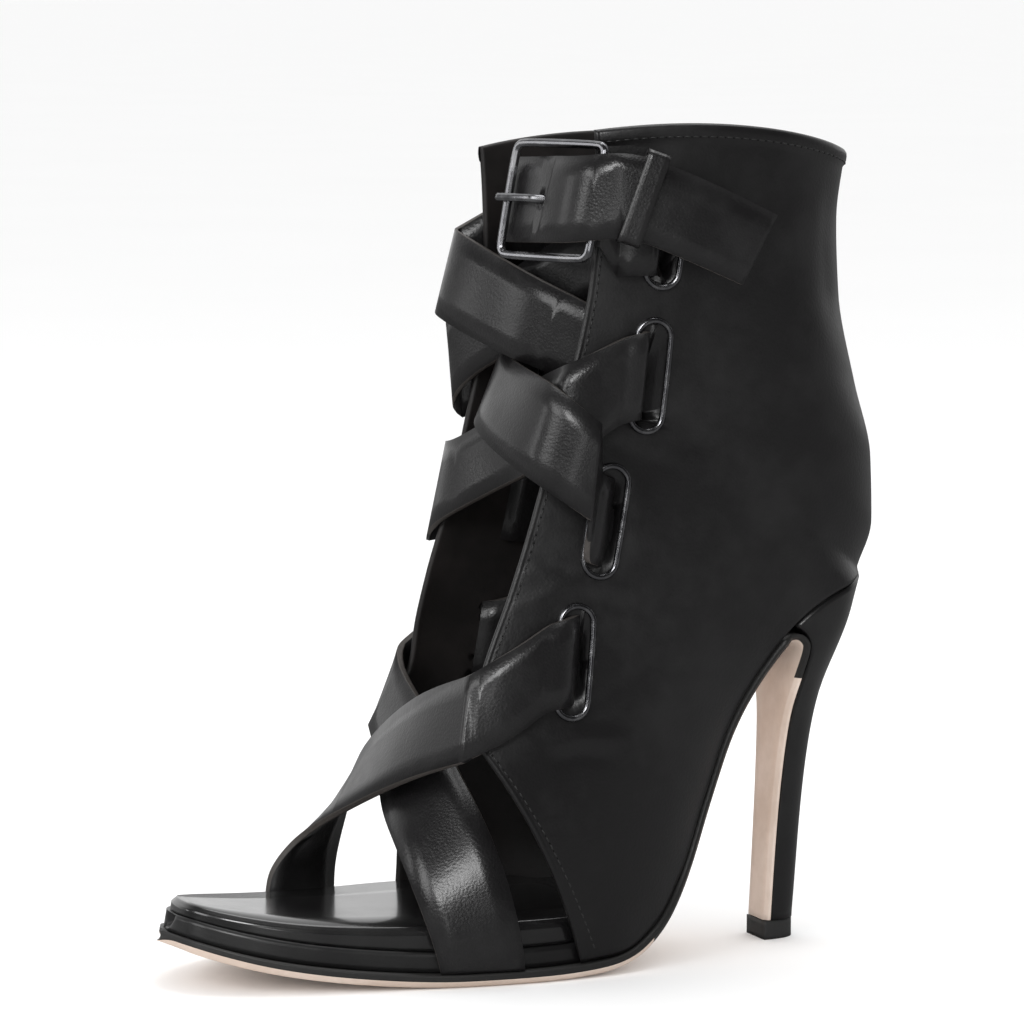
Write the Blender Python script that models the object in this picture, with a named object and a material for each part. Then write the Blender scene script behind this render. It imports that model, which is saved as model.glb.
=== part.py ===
"""Open-toe stiletto ankle boot, the left shoe of a pair, standing empty on its sole.

Frame: metres, +Z up, toe towards -Y, outer (lateral) side towards +X.
The origin is on the floor, in the middle of the forefoot's flat contact.
Tables hold one row for each section, as shares of the named sizes that the row follows.
"""

import math

import bmesh
import bpy
from mathutils import Vector

MM = 0.001

# Clearance between pieces that touch on the real boot
GAP = 0.3 * MM

# Plan and side sizes of the last
TOE_REACH = 83.5 * MM
HEEL_REACH = 129 * MM
BALL_WIDTH = 78 * MM
WAIST_WIDTH = 34 * MM
SEAT_WIDTH = 46 * MM
TOE_SPRING = 12 * MM
SEAT_HEIGHT = 105 * MM

# Layers of the sole
OUTSOLE_THICKNESS = 4 * MM
OUTSOLE_LIP = 0.8 * MM
PLATFORM_THICKNESS = 5.5 * MM
FOOTBED_THICKNESS = 7.5 * MM
FOOTBED_ROUNDING = 2.2 * MM

# Upper
WALL = 2 * MM
COLLAR_HEIGHT = 239.5 * MM
COLLAR_WIDTH = 66 * MM
COLLAR_ARCH = 5 * MM
INSTEP_HEIGHT = 72 * MM
FRONT_REACH = 37 * MM
MEDIAL_DROP = 6 * MM

# Heel, its breast leather and its top piece
BREAST_PLACE = 0.788
BREAST_BEND = 5 * MM
BREAST_LEATHER = 2 * MM
TIP_REACH = 100.3 * MM
TIP_DEPTH = 9 * MM
TIP_WIDTH = 12 * MM
TOP_PIECE_HEIGHT = 5.5 * MM

# Slots and their metal rims
SLOT_LENGTH = 34 * MM
SLOT_WIDTH = 12 * MM
RIM = 2.2 * MM
RIM_LIFT = 0.3 * MM

# Straps, keeper and buckle
STRAP_WIDTH = 24.5 * MM
STRAP = 2 * MM
KEEPER_WIDTH = 6.5 * MM
KEEPER_LEATHER = 1.3 * MM
KEEPER_PLACE = 0.68
BUCKLE_BAR = 2.6 * MM
PRONG = 2.4 * MM

LATERAL = 1
MEDIAL = -1

# Rows run from the toe tip to the back of the heel seat: the place along the shoe, the rise of the
# feather line above the outsole's top, and the outer and inner edge across the shoe. Each share is
# of the size named before it. The last two columns are shares of the platform's and the footbed's
# full thickness.
SOLE_LINE = (
    # reach, share, rise, share, width, lateral, medial, platform, footbed
    (TOE_REACH, -1.000, TOE_SPRING, 1.000, BALL_WIDTH, 0.00, 0.00, 0.90, 0.45),
    (TOE_REACH, -0.972, TOE_SPRING, 0.960, BALL_WIDTH, 0.13, -0.13, 0.92, 0.48),
    (TOE_REACH, -0.885, TOE_SPRING, 0.780, BALL_WIDTH, 0.225, -0.25, 0.95, 0.53),
    (TOE_REACH, -0.720, TOE_SPRING, 0.480, BALL_WIDTH, 0.310, -0.37, 1.00, 0.62),
    (TOE_REACH, -0.500, TOE_SPRING, 0.220, BALL_WIDTH, 0.380, -0.45, 1.00, 0.76),
    (TOE_REACH, -0.240, TOE_SPRING, 0.040, BALL_WIDTH, 0.440, -0.495, 1.00, 0.93),
    (TOE_REACH, -0.080, TOE_SPRING, 0.000, BALL_WIDTH, 0.475, -0.50, 1.00, 1.00),
    (HEEL_REACH, 0.130, TOE_SPRING, 0.000, BALL_WIDTH, 0.505, -0.480, 1.00, 1.00),
    (HEEL_REACH, 0.300, SEAT_HEIGHT, 0.012, BALL_WIDTH, 0.485, -0.410, 1.00, 0.90),
    (HEEL_REACH, 0.415, SEAT_HEIGHT, 0.075, WAIST_WIDTH, 0.940, -0.710, 0.60, 0.75),
    (HEEL_REACH, 0.500, SEAT_HEIGHT, 0.200, WAIST_WIDTH, 0.760, -0.520, 0.20, 0.60),
    (HEEL_REACH, 0.570, SEAT_HEIGHT, 0.400, WAIST_WIDTH, 0.650, -0.400, 0.00, 0.50),
    (HEEL_REACH, 0.637, SEAT_HEIGHT, 0.600, WAIST_WIDTH, 0.610, -0.350, 0.00, 0.45),
    (HEEL_REACH, 0.722, SEAT_HEIGHT, 0.775, SEAT_WIDTH, 0.500, -0.300, 0.00, 0.45),
    (HEEL_REACH, 0.810, SEAT_HEIGHT, 0.900, SEAT_WIDTH, 0.575, -0.365, 0.00, 0.45),
    (HEEL_REACH, 0.903, SEAT_HEIGHT, 0.963, SEAT_WIDTH, 0.560, -0.350, 0.00, 0.45),
    (HEEL_REACH, 0.970, SEAT_HEIGHT, 0.990, SEAT_WIDTH, 0.390, -0.170, 0.00, 0.45),
    (HEEL_REACH, 1.000, SEAT_HEIGHT, 1.000, SEAT_WIDTH, 0.110, 0.110, 0.00, 0.45),
)
# Rows run from the lower front corner of the quarters up to the collar: the front edge of each
# quarter along the shoe as a share of FRONT_REACH, its height as a share of the way from
# INSTEP_HEIGHT to COLLAR_HEIGHT, then for each quarter the half width at that edge and the widest
# half width as shares of COLLAR_WIDTH, the rear end of the row, and the row's bow.
# The rear end is a share of the feather line up to row SEAT_ROW, and above it the back seam.
UPPER_ROWS = (
    # lateral, medial, height, lateral edge, widest, medial edge, widest, feather, bow
    (-0.16, -0.08, 0.00, 0.47, 0.610, -0.50, -0.610, 0.000, 0.7),
    (-0.05, 0.05, 0.065, 0.455, 0.585, -0.47, -0.590, 0.120, 0.2),
    (0.08, 0.09, 0.137, 0.44, 0.555, -0.45, -0.555, 0.240, 0.0),
    (0.24, 0.17, 0.221, 0.43, 0.530, -0.43, -0.520, 0.355, 0.0),
    (0.38, 0.28, 0.305, 0.42, 0.510, -0.42, -0.490, 0.465, 0.0),
    (0.50, 0.39, 0.388, 0.415, 0.500, -0.41, -0.475, 0.580, 0.0),
    (0.63, 0.47, 0.478, 0.41, 0.492, -0.40, -0.465, 0.700, 0.0),
    (0.76, 0.56, 0.573, 0.405, 0.490, -0.39, -0.460, 0.840, 0.0),
    (0.85, 0.60, 0.645, 0.40, 0.490, -0.38, -0.460, 1.000, 0.0),
    (0.93, 0.62, 0.728, 0.40, 0.490, -0.37, -0.460, 1.000, 0.0),
    (0.97, 0.62, 0.800, 0.40, 0.492, -0.37, -0.462, 1.000, 0.0),
    (1.00, 0.61, 0.860, 0.395, 0.495, -0.36, -0.465, 1.000, 0.0),
    (1.00, 0.60, 0.920, 0.395, 0.500, -0.36, -0.470, 1.000, 0.1),
    (0.99, 0.59, 0.962, 0.39, 0.505, -0.36, -0.475, 1.000, 0.5),
    (0.98, 0.58, 1.000, 0.39, 0.510, -0.36, -0.480, 1.000, 1.0),
)
SEAT_ROW = 8

# Where along a row the quarters are widest, and where on the sole line each quarter begins
WIDEST_PLACE = 0.55
LATERAL_START = 7.45 / 17
MEDIAL_START = 6.3 / 17

# Mesh fineness, and how near to a half turn a section may come
WALL_COLUMNS = 15
WALL_LEVELS = 30
WALL_LIMIT = 0.999

# The back seam from the heel seat to the collar, one row for each row above SEAT_ROW: the place as
# a share of HEEL_REACH, and the height as a share of the way from the seat to the collar's back.
COLLAR_BACK_DROP = 8 * MM
BACK_SEAM = (
    (1.000, 0.000),
    (1.035, 0.110),
    (1.030, 0.265),
    (0.985, 0.447),
    (0.942, 0.657),
    (0.934, 0.835),
    (0.955, 1.000),
)

# How far platform and footbed stay inside the feather line, and where each ends on the sole line
INSET = WALL + 3 * GAP
PLATFORM_END = 10 / 17
FOOTBED_STEP = 1 * MM
FOOTBED_END = 0.96

# Where on the sole line the heel's seat begins
SEAT_PLACE = 0.806

# Rows run from the top of the heel's top piece up to the bend: the front height and the back height
# as shares of the bend's height, the back as a share of the way from the tip's back to HEEL_REACH,
# and half the width as shares of SEAT_WIDTH and of TIP_WIDTH.
HEEL_ROWS = (
    (0.065, 0.065, 0.00, 0.00, 0.50),
    (0.22, 0.23, 0.06, 0.00, 0.515),
    (0.43, 0.45, 0.13, 0.00, 0.555),
    (0.63, 0.67, 0.24, 0.00, 0.66),
    (0.79, 0.85, 0.40, 0.22, 0.00),
    (0.90, 0.98, 0.63, 0.325, 0.00),
    (1.00, 1.10, 0.83, 0.41, 0.00),
)
BEND_STEPS = 5
BREAST_STEPS = 9
HEEL_POINTS = 11

# The slots, from the lowest up: the place of the middle along the shoe as a share of FRONT_REACH,
# its height as a share of COLLAR_HEIGHT, and its lean back from upright in degrees.
LATERAL_SLOTS = (
    (0.73, 0.376, 7.0),
    (1.02, 0.540, 11.0),
    (1.40, 0.710, 7.0),
    (1.53, 0.880, 6.0),
)
MEDIAL_SLOTS = (
    (0.65, 0.362, 7.0),
    (0.89, 0.543, 11.0),
    (1.17, 0.706, 7.0),
    (1.22, 0.868, 6.0),
)
RIM_POINTS = 10
RIM_SIDES = 6

# How a strap goes through a slot, from outside and ahead of it: the way back across the slot from its
# middle as shares of the rim's own distance and of the clearance round the rim, then the lift off the
# wall as shares of the lift over the rim and of the depth behind the wall.
PASS = (
    (-2.86, 0.00, 0.75, 0.00),
    (-1.84, 0.00, 1.00, 0.00),
    (-1.00, 0.00, 1.00, 0.00),
    (-1.00, 1.20, 0.45, 0.00),
    (0.00, 0.00, 0.00, 0.23),
    (1.00, -1.20, 0.00, 0.84),
    (1.00, 0.00, 0.00, 1.00),
    (1.60, 0.00, 0.00, 1.03),
    (2.86, 0.00, 0.00, 1.03),
)
# The same for a strap that turns back round the strip of leather ahead of the slot
TURN = (
    (-2.86, 0.00, 0.62, 0.00),
    (-1.84, 0.00, 1.00, 0.00),
    (-1.12, 0.00, 1.03, 0.00),
    (-1.00, 0.74, 0.77, 0.00),
    (-1.00, 1.06, 0.11, 0.00),
    (-1.00, 1.00, 0.00, 0.52),
    (-1.00, 0.38, 0.00, 0.94),
    (-1.43, 0.00, 0.00, 1.02),
    (-2.45, 0.00, 0.00, 1.02),
)
PASS_WIDTH = 1.02

# Stations of the straps' free parts, one row each: the lower edge and then the upper edge, as shares
# of half BALL_WIDTH, of FRONT_REACH and of COLLAR_HEIGHT.
# The strap from the inner side of the sole, over the foot to the outer quarter
INNER_ROOT = (
    # lower edge: across, along, up; upper edge: across, along, up
    (-0.87, -1.15, 0.088, -1.07, -0.51, 0.084),
    (-0.87, -1.00, 0.112, -1.08, -0.43, 0.122),
    (-0.79, -0.89, 0.139, -1.04, -0.37, 0.172),
    (-0.59, -0.76, 0.162, -0.94, -0.32, 0.217),
    (-0.31, -0.64, 0.186, -0.73, -0.33, 0.249),
    (0.05, -0.61, 0.209, -0.37, -0.29, 0.285),
    (0.33, -0.48, 0.231, -0.06, -0.23, 0.316),
    (0.56, -0.33, 0.250, 0.32, -0.19, 0.344),
    (0.76, -0.21, 0.267, 0.59, -0.08, 0.365),
    (0.87, -0.06, 0.277, 0.85, 0.04, 0.384),
    (0.94, 0.16, 0.287, 0.91, 0.26, 0.398),
)
# The strap from the outer side of the sole, under it to the inner quarter
OUTER_ROOT = (
    # lower edge: across, along, up; upper edge: across, along, up
    (0.94, -0.45, 0.051, 1.06, 0.22, 0.050),
    (0.85, -0.53, 0.094, 1.03, 0.15, 0.104),
    (0.67, -0.58, 0.135, 0.94, 0.08, 0.155),
    (0.36, -0.57, 0.170, 0.73, 0.02, 0.201),
    (0.08, -0.52, 0.189, 0.42, -0.07, 0.251),
    (-0.26, -0.41, 0.206, -0.06, -0.02, 0.286),
    (-0.46, -0.28, 0.231, -0.27, -0.06, 0.316),
    (-0.83, -0.19, 0.265, -0.69, -0.05, 0.334),
    (-0.94, -0.09, 0.296, -0.81, -0.01, 0.358),
    (-1.00, 0.02, 0.316, -0.87, 0.05, 0.369),
)
# The strap that ends at the buckle, from the outer quarter over the instep
INSTEP = (
    # lower edge: across, along, up; upper edge: across, along, up
    (0.96, 0.81, 0.546, 0.99, 0.88, 0.660),
    (0.94, 0.64, 0.563, 0.95, 0.77, 0.676),
    (0.85, 0.49, 0.583, 0.87, 0.65, 0.694),
    (0.72, 0.38, 0.598, 0.72, 0.57, 0.709),
    (0.36, 0.34, 0.615, 0.36, 0.57, 0.717),
    (0.05, 0.34, 0.630, -0.01, 0.60, 0.722),
    (-0.22, 0.37, 0.644, -0.19, 0.62, 0.734),
    (-0.45, 0.49, 0.653, -0.42, 0.74, 0.747),
)
# Its way back from the inner quarter to the outer one
BACK = (
    # lower edge: across, along, up; upper edge: across, along, up
    (-0.85, 0.55, 0.643, -0.85, 0.50, 0.750),
    (-0.85, 0.44, 0.656, -0.82, 0.42, 0.768),
    (-0.69, 0.42, 0.684, -0.68, 0.47, 0.789),
    (-0.41, 0.59, 0.717, -0.42, 0.65, 0.816),
    (0.02, 0.85, 0.745, 0.03, 0.90, 0.850),
)
# The strap with the loose end, from the inner quarter over the instep
SHIN = (
    # lower edge: across, along, up; upper edge: across, along, up
    (-0.87, 0.26, 0.493, -0.85, 0.44, 0.614),
    (-0.72, 0.22, 0.512, -0.72, 0.34, 0.617),
    (-0.51, 0.24, 0.527, -0.51, 0.34, 0.616),
    (-0.21, 0.40, 0.554, -0.21, 0.59, 0.653),
    (0.10, 0.58, 0.581, 0.15, 0.70, 0.697),
    (0.36, 0.59, 0.593, 0.41, 0.69, 0.709),
    (0.72, 0.54, 0.607, 0.71, 0.69, 0.722),
    (0.81, 0.60, 0.615, 0.79, 0.75, 0.730),
    (0.87, 0.85, 0.628, 0.86, 0.96, 0.745),
)
# Its way back to the inner quarter
TOP = (
    # lower edge: across, along, up; upper edge: across, along, up
    (0.31, 0.81, 0.712, 0.55, 0.97, 0.797),
    (0.18, 0.67, 0.719, 0.37, 0.87, 0.808),
    (0.03, 0.52, 0.730, 0.22, 0.69, 0.824),
    (-0.33, 0.48, 0.743, -0.16, 0.60, 0.842),
    (-0.53, 0.37, 0.756, -0.43, 0.52, 0.858),
    (-0.74, 0.27, 0.771, -0.69, 0.42, 0.874),
    (-0.87, 0.34, 0.773, -0.82, 0.49, 0.874),
)
# Its way from there to the buckle, inside the collar
INSIDE = (
    # lower edge: across, along, up; upper edge: across, along, up
    (-0.40, 0.72, 0.839, -0.42, 0.82, 0.946),
)
# Its loose end, outside the outer quarter
TAIL = (
    # lower edge: across, along, up; upper edge: across, along, up
    (0.95, 1.09, 0.880, 0.94, 1.09, 0.980),
    (1.01, 1.27, 0.868, 1.01, 1.34, 0.967),
    (1.09, 1.54, 0.850, 1.09, 1.68, 0.944),
    (1.13, 1.78, 0.833, 1.12, 1.99, 0.922),
    (1.13, 1.99, 0.819, 1.13, 2.28, 0.900),
)

# Buckle: foot of its outer bar as shares of FRONT_REACH and COLLAR_HEIGHT, the frame's run across to
# its inner bar as shares of half BALL_WIDTH and FRONT_REACH, and its lean back over its height.
BUCKLE_FOOT = (0.49, 0.850)
BUCKLE_RUN = (0.84, 0.355)
BUCKLE_LEAN = 0.18
BUCKLE_ROOM = 8 * MM
# The strap with the loose end on its way through the buckle: along the run, and out of the frame's
# plane as a share of the strap's own clearance round a bar
BUCKLE_PATH = (
    (-0.18, -1.15),
    (-0.02, -1.20),
    (0.16, -0.85),
    (0.36, 0.10),
    (0.56, 1.05),
    (0.76, 1.50),
    (1.00, 1.60),
)
# The prong's way from the inner bar through the strap to the outer one, in the same terms
PRONG_PATH = (
    (0.915, -0.05),
    (0.70, -0.15),
    (0.58, 0.05),
    (0.47, 0.75),
    (0.38, 1.35),
    (0.28, 1.40),
    (-0.04, 1.05),
)


def monotone(values, place, flat_start=False, flat_end=False):
    """Reads equally spaced values at a place from 0 to 1, on a cubic that never overshoots."""
    last = len(values) - 1
    steps = [values[i + 1] - values[i] for i in range(last)]

    def slope(i):
        if i == 0:
            return 0.0 if flat_start else steps[0]
        if i == last:
            return 0.0 if flat_end else steps[-1]
        before, after = steps[i - 1], steps[i]
        if before * after <= 0.0:
            return 0.0
        return 2.0 * before * after / (before + after)

    spot = min(max(place, 0.0), 1.0) * last
    i = min(int(spot), last - 1)
    t = spot - i
    return ((1 + 2 * t) * (1 - t) ** 2 * values[i] + t * (1 - t) ** 2 * slope(i)
            + t * t * (3 - 2 * t) * values[i + 1] + t * t * (t - 1) * slope(i + 1))


def sole_size(place, share, **ends):
    """Interpolates one size and share pair of SOLE_LINE."""
    return monotone([row[share - 1] * row[share] for row in SOLE_LINE], place, **ends)


def sole_point(place, side):
    """The feather line on one side; place runs from the toe tip, 0, to the heel's back, 1."""
    across = monotone([row[4] * row[5 if side == LATERAL else 6] for row in SOLE_LINE], place)
    along = sole_size(place, 1, flat_start=True, flat_end=True)
    rise = sole_size(place, 3)
    return Vector((across, along, OUTSOLE_THICKNESS + rise))


def layer(place, column):
    """A layer's share of its full thickness at a place of the sole."""
    return monotone([row[column] for row in SOLE_LINE], place)


def sole_frame(place, side):
    """The feather point, the way out of the sole's edge there, and the way up through its layers."""
    step = 0.004
    low, high = max(place - step, 0.0), min(place + step, 1.0)
    run = sole_point(high, side) - sole_point(low, side)
    spine = Vector((0.0, run.y, run.z)).normalized()
    up = Vector((0.0, -spine.z, spine.y))
    if place <= 0.0:
        run = sole_point(step, LATERAL) - sole_point(step, MEDIAL)
    elif place >= 1.0:
        run = sole_point(1.0 - step, MEDIAL) - sole_point(1.0 - step, LATERAL)
    else:
        run = run * side
    return sole_point(place, side), run.cross(up).normalized(), up


def sole_stations(first, last, count):
    """Pairs of frames, lateral and medial, along the sole."""
    places = [first + (last - first) * i / count for i in range(count + 1)]
    return [(place, sole_frame(place, LATERAL), sole_frame(place, MEDIAL)) for place in places]


def slab_mesh(stations, levels):
    """Closes a slab around stations; each level gives, at a place, how far out and up its ring lies."""
    bm = bmesh.new()
    rings = []
    for out, up in levels:
        pairs = []
        for place, lateral, medial in stations:
            pair = []
            for point, outward, upward in (lateral, medial):
                pair.append(bm.verts.new(point + outward * out(place) + upward * up(place)))
            pairs.append(pair)
        rings.append(pairs)
    count = len(stations)
    for lower, upper in zip(rings, rings[1:]):
        for i in range(count - 1):
            bm.faces.new((lower[i][0], lower[i + 1][0], upper[i + 1][0], upper[i][0]))
            bm.faces.new((lower[i + 1][1], lower[i][1], upper[i][1], upper[i + 1][1]))
        bm.faces.new((lower[-1][0], lower[-1][1], upper[-1][1], upper[-1][0]))
        bm.faces.new((lower[0][1], lower[0][0], upper[0][0], upper[0][1]))
    for i in range(count - 1):
        bottom, top = rings[0], rings[-1]
        bm.faces.new((bottom[i][1], bottom[i + 1][1], bottom[i + 1][0], bottom[i][0]))
        bm.faces.new((top[i][0], top[i + 1][0], top[i + 1][1], top[i][1]))
    bmesh.ops.remove_doubles(bm, verts=bm.verts, dist=0.01 * MM)
    bmesh.ops.dissolve_degenerate(bm, edges=bm.edges, dist=0.01 * MM)
    return bm


def material(name, color, roughness, metallic=0.0):
    """A Principled material."""
    made = bpy.data.materials.new(name)
    made.use_nodes = True
    shader = made.node_tree.nodes["Principled BSDF"]
    shader.inputs["Base Color"].default_value = (*color, 1.0)
    shader.inputs["Roughness"].default_value = roughness
    shader.inputs["Metallic"].default_value = metallic
    return made


def add_object(name, bm, finish, smooth_angle=40.0):
    """Turns a bmesh into an object with one material, shaded smooth up to an angle."""
    mesh = bpy.data.meshes.new(name)
    bm.to_mesh(mesh)
    bm.free()
    mesh.materials.append(finish)
    mesh.shade_smooth()
    mesh.set_sharp_from_angle(angle=math.radians(smooth_angle))
    made = bpy.data.objects.new(name, mesh)
    bpy.context.scene.collection.objects.link(made)
    return made


def wall_row(side, row):
    """The section of one quarter at a row of UPPER_ROWS, which need not be a whole number."""
    place = row / (len(UPPER_ROWS) - 1)

    def column(index):
        return monotone([entry[index] for entry in UPPER_ROWS], place)

    lateral = side == LATERAL
    drop = 0.0 if lateral else MEDIAL_DROP * max(0.0, place * 2.0 - 1.0)
    rise = (COLLAR_HEIGHT - INSTEP_HEIGHT) * column(2)
    front = Vector((0.0, FRONT_REACH * column(0 if lateral else 1), INSTEP_HEIGHT + rise - drop))
    edge = COLLAR_WIDTH * column(3 if lateral else 5)
    widest = COLLAR_WIDTH * column(4 if lateral else 6)
    if row <= SEAT_ROW:
        start = LATERAL_START if lateral else MEDIAL_START
        rear = sole_point(start + (1.0 - start) * column(7), side)
    else:
        seam = (row - SEAT_ROW) / (len(BACK_SEAM) - 1)
        seat = sole_point(1.0, side)
        top = COLLAR_HEIGHT - COLLAR_BACK_DROP
        along = HEEL_REACH * monotone([entry[0] for entry in BACK_SEAM], seam)
        height = seat.z + (top - seat.z) * monotone([entry[1] for entry in BACK_SEAM], seam)
        rear = Vector((seat.x, along, height))
    bow = COLLAR_ARCH * column(8)
    return front, rear, edge, widest, bow


def wall_angles(side, row):
    """How far a section turns in from its widest place to the front edge and to the rear end."""
    front, rear, edge, widest, bow = wall_row(side, row)
    swing = sole_point(1.0, side).x
    front_turn = math.acos(min(edge / widest, WALL_LIMIT))
    rear_turn = math.acos(max(min((rear.x - swing) / (widest - swing), WALL_LIMIT), 0.0))
    return front_turn, rear_turn


def wall_section(side, row, share):
    """A point of the quarter's outer face by its row and its share of the way to the rear end."""
    front, rear, edge, widest, bow = wall_row(side, row)
    front_turn, rear_turn = wall_angles(side, row)
    swing = sole_point(1.0, side).x
    turn = share * (front_turn + rear_turn) - front_turn
    if turn < 0.0:
        along = WIDEST_PLACE * (1.0 - math.sin(-turn) / math.sin(front_turn))
        across = widest * math.cos(turn)
    else:
        along = WIDEST_PLACE + (1.0 - WIDEST_PLACE) * math.sin(turn) / math.sin(rear_turn)
        across = swing + (widest - swing) * math.cos(turn)
    return wall_place(front, rear, bow, along, across)


def wall_place(front, rear, bow, along, across):
    """A point on a row's line in side view, put at its distance across the shoe."""
    chord = Vector((0.0, rear.y - front.y, rear.z - front.z))
    normal = Vector((0.0, -chord.z, chord.y)).normalized()
    point = Vector((0.0, front.y, front.z)) + chord * along + normal * bow * 4 * along * (1 - along)
    return Vector((across, point.y, point.z))


def wall_sheet():
    """The outer face of both quarters as one open sheet, joined at the back seam."""
    bm = bmesh.new()
    rows = upper_levels()
    for side in (LATERAL, MEDIAL):
        grid = []
        for row in rows:
            shares = [j / WALL_COLUMNS for j in range(WALL_COLUMNS + 1)]
            grid.append([bm.verts.new(wall_section(side, row, share)) for share in shares])
        for lower, upper in zip(grid, grid[1:]):
            for j in range(WALL_COLUMNS):
                corners = [lower[j], lower[j + 1], upper[j + 1], upper[j]]
                if side == MEDIAL:
                    corners.reverse()
                bm.faces.new(corners)
    bmesh.ops.remove_doubles(bm, verts=bm.verts, dist=0.05 * MM)
    return bm


def upper_levels():
    """The rows at which the wall has points, evenly spread, with the binding's own at the top."""
    top = len(UPPER_ROWS) - 1
    return [top * i / WALL_LEVELS for i in range(WALL_LEVELS + 1)]


def build_upper(finish):
    """Both quarters as one hollow wall."""
    made = add_object("upper", wall_sheet(), finish, 50.0)
    wall = made.modifiers.new("wall", "SOLIDIFY")
    wall.thickness = WALL
    wall.offset = -1.0
    wall.use_even_offset = True
    return made


def outsole_depth(place):
    """The outsole's thickness, full under the forefoot and that of the breast from the waist on."""
    share = min(max((place - 0.46) / 0.14, 0.0), 1.0)
    return OUTSOLE_THICKNESS + (BREAST_LEATHER + GAP - OUTSOLE_THICKNESS) * share


def breast_bend():
    """Side view centre of the bend from the waist into the breast, and the sole's way up there."""
    point, outward, up = sole_frame(BREAST_PLACE, LATERAL)
    centre = point - up * (GAP + BREAST_BEND)
    return Vector((0.0, centre.y, centre.z)), up


def breast_line(height):
    """How far back the breast leather's rear face lies at a height below the bend's centre."""
    centre, up = breast_bend()
    top = centre.y + BREAST_BEND
    share = min(max((height - TOP_PIECE_HEIGHT) / (centre.z - TOP_PIECE_HEIGHT), 0.0), 1.0)
    return TIP_REACH + (top - TIP_REACH) * (0.7 * share + 0.3 * share ** 3)


def heel_half_width(height):
    """Half the heel's width at a height of its front face."""
    share = height / breast_bend()[0].z
    return monotone([row[3] * SEAT_WIDTH + row[4] * TIP_WIDTH for row in HEEL_ROWS], share_to_row(share))


def share_to_row(share):
    """The place in HEEL_ROWS at which its front height column reaches a share of the bend's height."""
    heights = [row[0] for row in HEEL_ROWS]
    last = len(heights) - 1
    if share <= heights[0]:
        return 0.0
    for i in range(last):
        if share <= heights[i + 1]:
            return (i + (share - heights[i]) / (heights[i + 1] - heights[i])) / last
    return 1.0


def breast_stations():
    """Stations of the outsole's bend and of its leather down the breast."""
    centre, first_up = breast_bend()
    turn = math.atan2(1.0, 0.0) - math.atan2(first_up.y, first_up.z)
    sole_half = (sole_point(BREAST_PLACE, LATERAL).x - sole_point(BREAST_PLACE, MEDIAL).x) / 2
    sole_middle = (sole_point(BREAST_PLACE, LATERAL).x + sole_point(BREAST_PLACE, MEDIAL).x) / 2
    spine = []
    for i in range(1, BEND_STEPS + 1):
        share = i / BEND_STEPS
        angle = math.atan2(first_up.y, first_up.z) + turn * share
        up = Vector((0.0, math.sin(angle), math.cos(angle)))
        half = sole_half + (heel_half_width(centre.z) - sole_half) * share
        middle = sole_middle + (sole_point(1.0, LATERAL).x - sole_middle) * share
        spine.append((centre + up * (BREAST_BEND + GAP), up, middle, half))
    for i in range(1, BREAST_STEPS + 1):
        height = centre.z + (TOP_PIECE_HEIGHT + GAP - centre.z) * i / BREAST_STEPS
        lean = (breast_line(height + MM) - breast_line(height - MM)) / (2 * MM)
        up = Vector((0.0, 1.0, -lean)).normalized()
        point = Vector((0.0, breast_line(height), height)) + up * GAP
        spine.append((point, up, sole_point(1.0, LATERAL).x, heel_half_width(height)))
    stations = []
    for point, up, middle, half in spine:
        pair = []
        for side in (LATERAL, MEDIAL):
            across = middle + side * (half - OUTSOLE_LIP)
            pair.append((Vector((across, point.y, point.z)), Vector((side, 0.0, 0.0)), up))
        stations.append((BREAST_PLACE, *pair))
    return stations


def build_sole(finishes):
    """Outsole with its breast leather, platform and footbed."""
    front = sole_stations(0.0, PLATFORM_END, 25)
    span = front + sole_stations(PLATFORM_END, BREAST_PLACE, 9)[1:] + breast_stations()
    levels = (
        (lambda p: OUTSOLE_LIP - outsole_depth(p) / 2, lambda p: -outsole_depth(p)),
        (lambda p: OUTSOLE_LIP, lambda p: -outsole_depth(p) / 2),
        (lambda p: OUTSOLE_LIP, lambda p: -GAP),
    )
    add_object("outsole", slab_mesh(span, levels), finishes["sole"])
    levels = (
        (lambda p: -INSET * blend(p), lambda p: 0.0),
        (lambda p: -INSET * blend(p), lambda p: PLATFORM_THICKNESS * layer(p, 7)),
    )
    add_object("platform_rand", slab_mesh(front, levels), finishes["leather"])
    levels = (
        (footbed_out, lambda p: PLATFORM_THICKNESS * layer(p, 7) + GAP),
        (footbed_out, lambda p: footbed_top(p) - FOOTBED_ROUNDING * 0.7),
        (lambda p: footbed_out(p) - 0.6 * FOOTBED_ROUNDING, footbed_top),
    )
    span = front[1:] + sole_stations(PLATFORM_END, FOOTBED_END, 15)[1:]
    add_object("footbed", slab_mesh(span, levels), finishes["leather"])


def footbed_out(place):
    """How far the footbed's side lies out of the feather line."""
    return -FOOTBED_STEP - INSET * blend(place)


def footbed_top(place):
    """The footbed's height over the feather line."""
    return PLATFORM_THICKNESS * layer(place, 7) + GAP + FOOTBED_THICKNESS * layer(place, 8)


def blend(place):
    """From 0 at the toe tip to 1 where the straps and the quarters begin."""
    share = min(max(place / 0.28, 0.0), 1.0)
    return share * share * (3 - 2 * share)


def heel_ring(front_height, back_height, back, half):
    """One D-shaped ring of the heel, from the outer front corner round the back to the inner one."""
    front = breast_line(front_height) + GAP * (1.0 + 2.0 * front_height / breast_bend()[0].z)
    middle = sole_point(1.0, LATERAL).x
    ring = []
    for i in range(2 * HEEL_POINTS + 1):
        angle = math.pi * i / (2 * HEEL_POINTS)
        share = math.sin(angle) ** 0.8
        along = front + (back - front) * share
        height = front_height + (back_height - front_height) * share
        ring.append(Vector((middle + half * math.cos(angle), along, height)))
    return ring


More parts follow.
